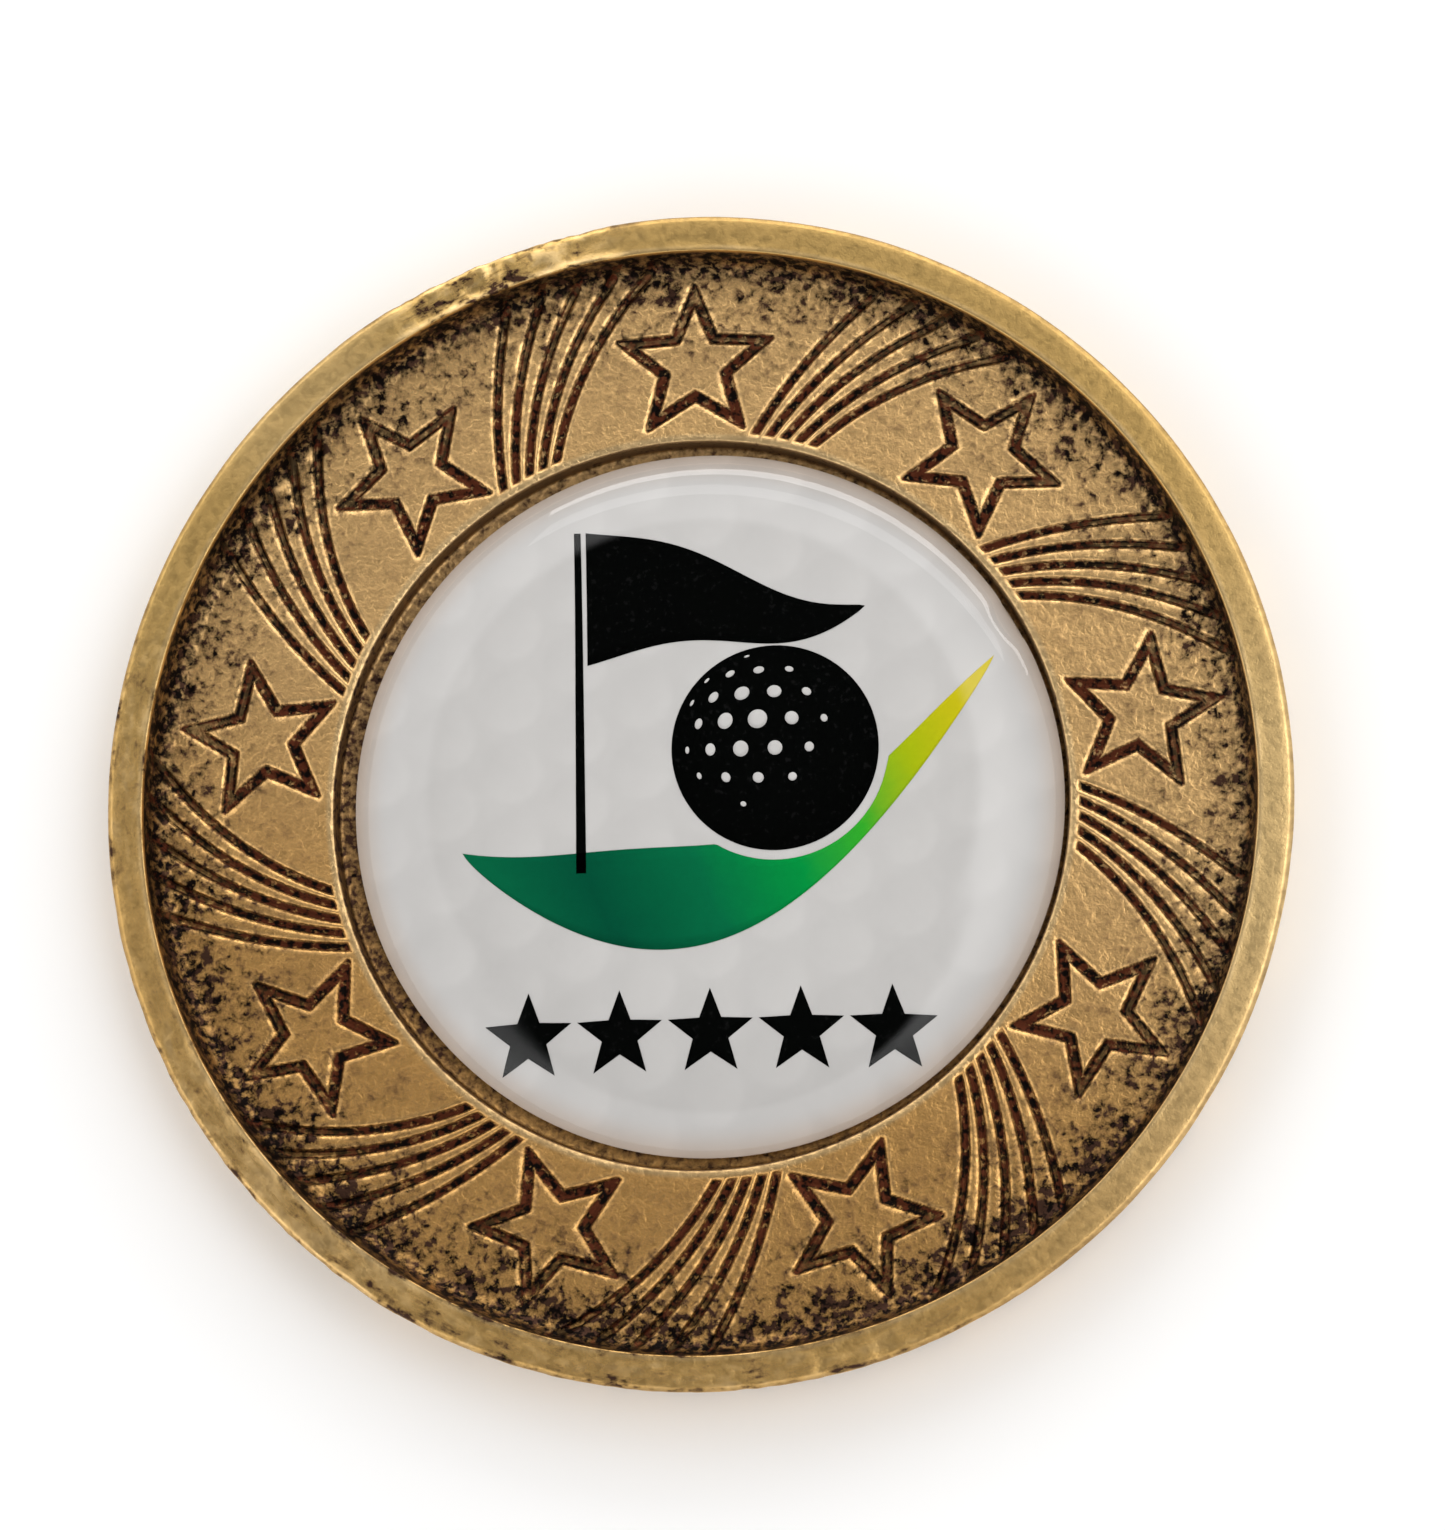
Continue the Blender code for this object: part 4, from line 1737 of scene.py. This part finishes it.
@dataclass
class Artwork:
    """Printed emblem of plain golf signs: a flag, a ball on rolling ground and five stars.

    Places are in millimetres from the label's centre.
    """

    black: Finish = field(default_factory=Ink)
    green: Finish = field(default_factory=FairwayInk)
    white: Finish = field(default_factory=LabelPrint)
    ink: float = 0.012
    ball_x: float = 2.3
    ball_y: float = 1.8
    ball_radius: float = 3.5
    gap: float = 0.32
    pole_x: float = -4.3
    pole_foot: float = -2.3
    pole_top: float = 9.3
    pole_half: float = 0.17
    pole_taper: float = 0.35
    pennant_gap: float = 0.28
    pennant_length: float = 9.4
    pennant_depth: float = 4.5
    pennant_wave: float = 0.62
    pennant_droop: float = 0.5
    ground_left: float = -8.3
    ground_right: float = 9.6
    ground_low: float = -1.5
    ground_high: float = 4.7
    dimple_pitch: float = 1.18
    dimple_row: float = 0.866
    dimple_size: float = 0.36
    dimple_least: float = 0.1
    star_count: int = 5
    star_pitch: float = 3.05
    star_tip: float = 1.5
    star_valley: float = 0.42
    star_y: float = -7.8

    def heights(self) -> Tuple[float, float]:
        """Heights of the ink's underside and top: it is half sunk into the film."""
        _, high = node_extent(Node.FILM)
        return high[2] - self.ink, high[2] + self.ink

    def centre_x(self) -> float:
        """The label's centre along X."""
        low, high = node_extent(Node.FILM)
        return 0.5 * (low[0] + high[0])

    def pole(self) -> Shape:
        """The flagstick, a straight bar that narrows to its top."""
        low, high = self.heights()
        up = np.linspace(self.pole_foot, self.pole_top, 24)[None, :]
        across = np.linspace(-1.0, 1.0, 3)[:, None]
        taper = 1.0 - self.pole_taper * (up - self.pole_foot) / (self.pole_top - self.pole_foot)
        x = self.pole_x + across * self.pole_half * taper
        return plate_shape(x, np.broadcast_to(up, x.shape), low, high)

    def pennant(self) -> Shape:
        """The flag, a long triangle that waves away from the stick.

        At share u along it and v of -1 to 1 across it, x = stick + gap + length * u and
        y = middle + wave * sin(2 pi u) * (0.3 + 0.7 u) - droop * u + v * half, where half is
        depth / 2 * ((1 - u) ** 0.8 + 0.004), so that the tip isn't quite a point.

        Returns:
            The closed shape.
        """
        low, high = self.heights()
        u = np.linspace(0.0, 1.0, 49)[:, None]
        v = np.linspace(-1.0, 1.0, 9)[None, :]
        half = 0.5 * self.pennant_depth * ((1.0 - u) ** 0.8 + 0.004)
        middle = self.pole_top - 0.5 * self.pennant_depth
        sway = self.pennant_wave * np.sin(2.0 * math.pi * u) * (0.3 + 0.7 * u) - self.pennant_droop * u
        x = self.pole_x + self.pennant_gap + self.pennant_length * u
        y = middle + sway + v * half
        return plate_shape(np.broadcast_to(x, y.shape), y, low, high)

    def ground_edges(self, x: Array) -> Tuple[Array, Array]:
        """Lower and upper edges of the ground.

        Both hang from the line between its two tips, with bow = sin(pi s) at share s of the way:
        the lower edge by 6.2 bow ** 0.85, the upper by 3 bow - 0.7 sin(2 pi s) bow. The upper
        edge stays a set gap clear of the ball.

        Args:
            x: Places along X.

        Returns:
            Heights of the lower and the upper edge.
        """
        share = (x - self.ground_left) / (self.ground_right - self.ground_left)
        line = self.ground_low + (self.ground_high - self.ground_low) * share
        bow = np.sin(math.pi * np.clip(share, 0.0, 1.0))
        lower = line - 6.2 * bow ** 0.85
        upper = line - 3.0 * bow + 0.7 * np.sin(2.0 * math.pi * share) * bow
        reach = self.ball_radius + self.gap
        inside = np.clip(reach * reach - (x - self.ball_x) ** 2, 0.0, None)
        clear = np.where(inside > 0.0, self.ball_y - np.sqrt(inside), upper)
        return lower, np.maximum(np.minimum(upper, clear), lower)

    def ground(self) -> Shape:
        """The green, a tapered sweep of rolling ground under the ball."""
        low, high = self.heights()
        share = np.linspace(0.0, 1.0, 161)
        x = self.ground_left + (self.ground_right - self.ground_left) * share
        lower, upper = self.ground_edges(x)
        v = np.linspace(0.0, 1.0, 9)[None, :]
        y = lower[:, None] + (upper - lower)[:, None] * v
        return plate_shape(np.broadcast_to(x[:, None], y.shape), y, low, high)

    def ball(self) -> Shape:
        """The ball, a plain round."""
        low, high = self.heights()
        round_outline = outline_shape(lambda b: np.full_like(b, self.ball_radius), 96, low, high)
        return round_outline.moved(self.ball_x, self.ball_y)

    def ball_dimples(self) -> Shape:
        """White dimples on the ball, in hexagonal rows that shrink towards its edge.

        A dimple at (p, q) on a flat lattice moves to R sin(d / R) from the ball's centre, with d
        its distance there, and its radius along that line shrinks by cos(d / R). The dimples
        are largest at the upper left and fade out away from there.

        Returns:
            All dimples as one shape.
        """
        low, high = self.heights()
        pitch = self.dimple_pitch
        dimples = []
        for row in range(-4, 5):
            for place in range(-4, 5):
                p = pitch * (place + 0.5 * (row % 2))
                q = pitch * self.dimple_row * row
                distance = math.hypot(p, q)
                turn = distance / self.ball_radius
                size = self.dimple_size * (1.0 - math.hypot(p + 0.9, q - 1.0) / 4.3)
                if turn > 1.22 or size < self.dimple_least:
                    continue
                squash = math.cos(turn)
                reach = self.ball_radius * math.sin(turn)
                heading = math.atan2(p, q)
                dimples.append(self.dimple(reach, heading, size, squash, low, high + self.ink))
        return joined(dimples).moved(self.ball_x, self.ball_y)

    def dimple(
        self, reach: float, heading: float, size: float, squash: float, low: float, high: float
    ) -> Shape:
        """One dimple as an ellipse.

        Args:
            reach: Distance of its centre from the ball's.
            heading: Bearing of that centre, radians.
            size: Its long half-axis, across the line from the ball's centre.
            squash: Its short half-axis as a share of the long one.
            low: Height of its underside.
            high: Height of its top.

        Returns:
            The closed shape.
        """
        def outline(bearing: Array) -> Array:
            """Radius of the ellipse: 1 / sqrt((cos t / b) ** 2 + (sin t / a) ** 2)."""
            turn = bearing - heading
            short = size * squash
            return 1.0 / np.sqrt((np.cos(turn) / short) ** 2 + (np.sin(turn) / size) ** 2)

        shape = outline_shape(outline, 20, low, high)
        return shape.moved(reach * math.sin(heading), reach * math.cos(heading))

    def star_row(self) -> Shape:
        """Five plain stars in a row.

        A star's outline at bearing b from a tip is line / cos(|b| - lean), so each of its edges
        is straight. The lean is the bearing at which the edge's line comes closest to the centre.

        Returns:
            All stars as one shape.
        """
        low, high = self.heights()
        valley = self.star_valley * self.star_tip
        step = math.radians(HALF_TIP_ANGLE)
        edge_x = valley * math.sin(step)
        edge_y = self.star_tip - valley * math.cos(step)
        lean = math.atan2(edge_y, edge_x)
        line = self.star_tip * math.cos(lean)

        def outline(bearing: Array) -> Array:
            """Radius of the star at each bearing."""
            phi = np.abs(wrapped(bearing, -step, step))
            return line / np.cos(phi - lean)

        star = outline_shape(outline, 60, low, high)
        middle = 0.5 * (self.star_count - 1)
        return joined(
            [star.moved(self.star_pitch * (i - middle), self.star_y) for i in range(self.star_count)]
        )

    def build(self, workshop: Workshop) -> None:
        """Put each printed sign into the scene."""
        x = self.centre_x()
        for name, shape, finish in (
            ("printed_pole", self.pole(), self.black),
            ("printed_pennant", self.pennant(), self.black),
            ("printed_ground", self.ground(), self.green),
            ("printed_ball", self.ball(), self.black),
            ("printed_dimples", self.ball_dimples(), self.white),
            ("printed_stars", self.star_row(), self.black),
        ):
            workshop.fit(name, shape.moved(x, 0.0), finish)


def direction_of(bearing: float, elevation: float) -> Tuple[float, float, float]:
    """Unit vector towards a bearing and an elevation, both in degrees."""
    flat = math.cos(math.radians(elevation))
    turn = math.radians(bearing)
    return (flat * math.sin(turn), flat * math.cos(turn), math.sin(math.radians(elevation)))


@dataclass(frozen=True)
class SoftLight:
    """A rectangular studio lamp. Places and sizes are in millimetres, aimed at the disc."""

    name: str
    bearing: float
    elevation: float
    distance: float
    width: float
    depth: float
    radiance: float

    def place(self) -> Vector:
        """Centre of the lamp, in metres."""
        return Vector(direction_of(self.bearing, self.elevation)) * self.distance * METRES_PER_MM

    def light(self) -> bpy.types.Object:
        """Add the lamp.

        A rectangle of a by b metres with radiance L sends out pi * a * b * L watts.

        Returns:
            The lamp's object.
        """
        lamp = bpy.data.lights.new(self.name, "AREA")
        lamp.shape = "RECTANGLE"
        lamp.size = self.width * METRES_PER_MM
        lamp.size_y = self.depth * METRES_PER_MM
        lamp.energy = math.pi * lamp.size * lamp.size_y * self.radiance
        holder = bpy.data.objects.new(self.name, lamp)
        holder.location = self.place()
        holder.rotation_euler = (-holder.location).to_track_quat("-Z", "Y").to_euler()
        bpy.context.scene.collection.objects.link(holder)
        return holder


@dataclass(frozen=True)
class SkyGlow:
    """A soft bright place in the surroundings: angles in degrees, strength as added radiance."""

    bearing: float
    elevation: float
    reach: float
    strength: float


@dataclass(frozen=True)
class SkyShade:
    """A dark place in the surroundings, where camera and hands stand: angles in degrees."""

    bearing: float
    elevation: float
    inner: float
    outer: float


@dataclass
class Studio:
    """White floor, soft lamps, pale surroundings and the camera."""

    card: Finish = field(default_factory=FloorCard)
    floor_half: float = 900.0
    floor_drop: float = 0.02
    floor_thickness: float = 4.0
    focal_length: float = 188.24
    sensor_width: float = 36.0
    clip_metres: Pair = (0.01, 10.0)
    camera_place: Tuple[float, float, float] = (27.42, -46.583, 265.332)
    camera_right: Tuple[float, float, float] = (0.99463, -0.01228, -0.10276)
    camera_up: Tuple[float, float, float] = (0.03028, 0.98401, 0.17554)
    surround: float = 1.055
    least: float = 0.01
    shades: Tuple[SkyShade, ...] = (
        SkyShade(332.0, 75.3, 13.0, 18.6),
        SkyShade(196.0, 78.0, 15.5, 23.5),
    )
    glows: Tuple[SkyGlow, ...] = (
        SkyGlow(88.0, 68.0, 34.0, 1.6),
        SkyGlow(350.0, 52.0, 40.0, 0.4),
        SkyGlow(232.0, 35.0, 30.0, 0.6),
    )
    lamps: Tuple[SoftLight, ...] = (
        SoftLight("far_strip", 15.0, 13.0, 420.0, 760.0, 80.0, 3.6),
        SoftLight("high_strip", 10.0, 38.0, 380.0, 520.0, 70.0, 1.4),
    )

    def floor(self, workshop: Workshop) -> None:
        """A square floor just below the disc, four by four, put in the scene apart from the object's
        body.
        """
        side = np.linspace(-self.floor_half, self.floor_half, 5)
        x, y = np.meshgrid(side, side, indexing="ij")
        shape = plate_shape(x, y, -self.floor_drop - self.floor_thickness, -self.floor_drop)
        workshop.put("floor", shape, self.card)

    def surroundings(self) -> None:
        """Pale light from all round, with soft glows and dark places.

        With a the angle between a direction and the middle of a glow, the radiance is
        surround + the sum of strength * (1 - ease(a)). Each shade multiplies it by an ease from
        0 inside to 1 outside, and a least radiance is added.
        """
        world = bpy.data.worlds.new("studio_surroundings")
        world.use_nodes = True
        bpy.context.scene.world = world
        graph = Graph(world.node_tree)
        direction = graph.node("TexCoord").outputs["Generated"]
        total: Value = self.surround
        for glow in self.glows:
            angle = self.angle_from(graph, direction, glow.bearing, glow.elevation)
            share = graph.multiply(graph.eased(angle, glow.reach, 0.0), glow.strength)
            total = graph.add(total, share)
        for shade in self.shades:
            angle = self.angle_from(graph, direction, shade.bearing, shade.elevation)
            total = graph.multiply(total, graph.eased(angle, shade.inner, shade.outer))
        strength = graph.add(total, self.least)
        background = world.node_tree.nodes["Background"]
        background.inputs["Color"].default_value = (1.0, 1.0, 1.0, 1.0)
        graph.wire(strength, background.inputs["Strength"])

    def angle_from(
        self, graph: Graph, direction: Socket, bearing: float, elevation: float
    ) -> Socket:
        """Angle between a direction and a bearing and elevation, all in degrees.

        Args:
            graph: The surroundings' graph.
            direction: Unit vector of the direction.
            bearing: Bearing to measure from.
            elevation: Elevation to measure from.

        Returns:
            The angle.
        """
        cosine = graph.dot(direction, direction_of(bearing, elevation))
        return graph.math("DEGREES", graph.math("ARCCOSINE", cosine))

    def camera(self) -> None:
        """The camera, with its axes given as directions in the disc's own frame."""
        right = Vector(self.camera_right).normalized()
        up = Vector(self.camera_up)
        back = right.cross(up).normalized()
        up = back.cross(right)
        turn = Matrix((right, up, back)).transposed().to_4x4()
        turn.translation = Vector(self.camera_place) * METRES_PER_MM
        lens = bpy.data.cameras.new("camera")
        lens.lens = self.focal_length
        lens.sensor_width = self.sensor_width
        lens.clip_start, lens.clip_end = self.clip_metres
        holder = bpy.data.objects.new("camera", lens)
        holder.matrix_world = turn
        bpy.context.scene.collection.objects.link(holder)
        bpy.context.scene.camera = holder

    def build(self, workshop: Workshop) -> None:
        """Set up the camera, the floor, the lamps and the surroundings."""
        self.camera()
        self.floor(workshop)
        for lamp in self.lamps:
            lamp.light()
        self.surroundings()
        bpy.context.scene.view_settings.view_transform = "Standard"
        LOG.info("studio: %d lamps", len(self.lamps))


def main() -> None:
    """Build the studio and the marker, and report each piece."""
    logging.basicConfig(level=logging.INFO, format="%(name)s: %(message)s")
    pattern = BorderPattern()
    workshop = Workshop(Groups(pattern))
    Studio().build(workshop)
    CastDisc(pattern).build(workshop)
    DomedLabel().build(workshop)
    Artwork().build(workshop)


if __name__ == "__main__":
    main()
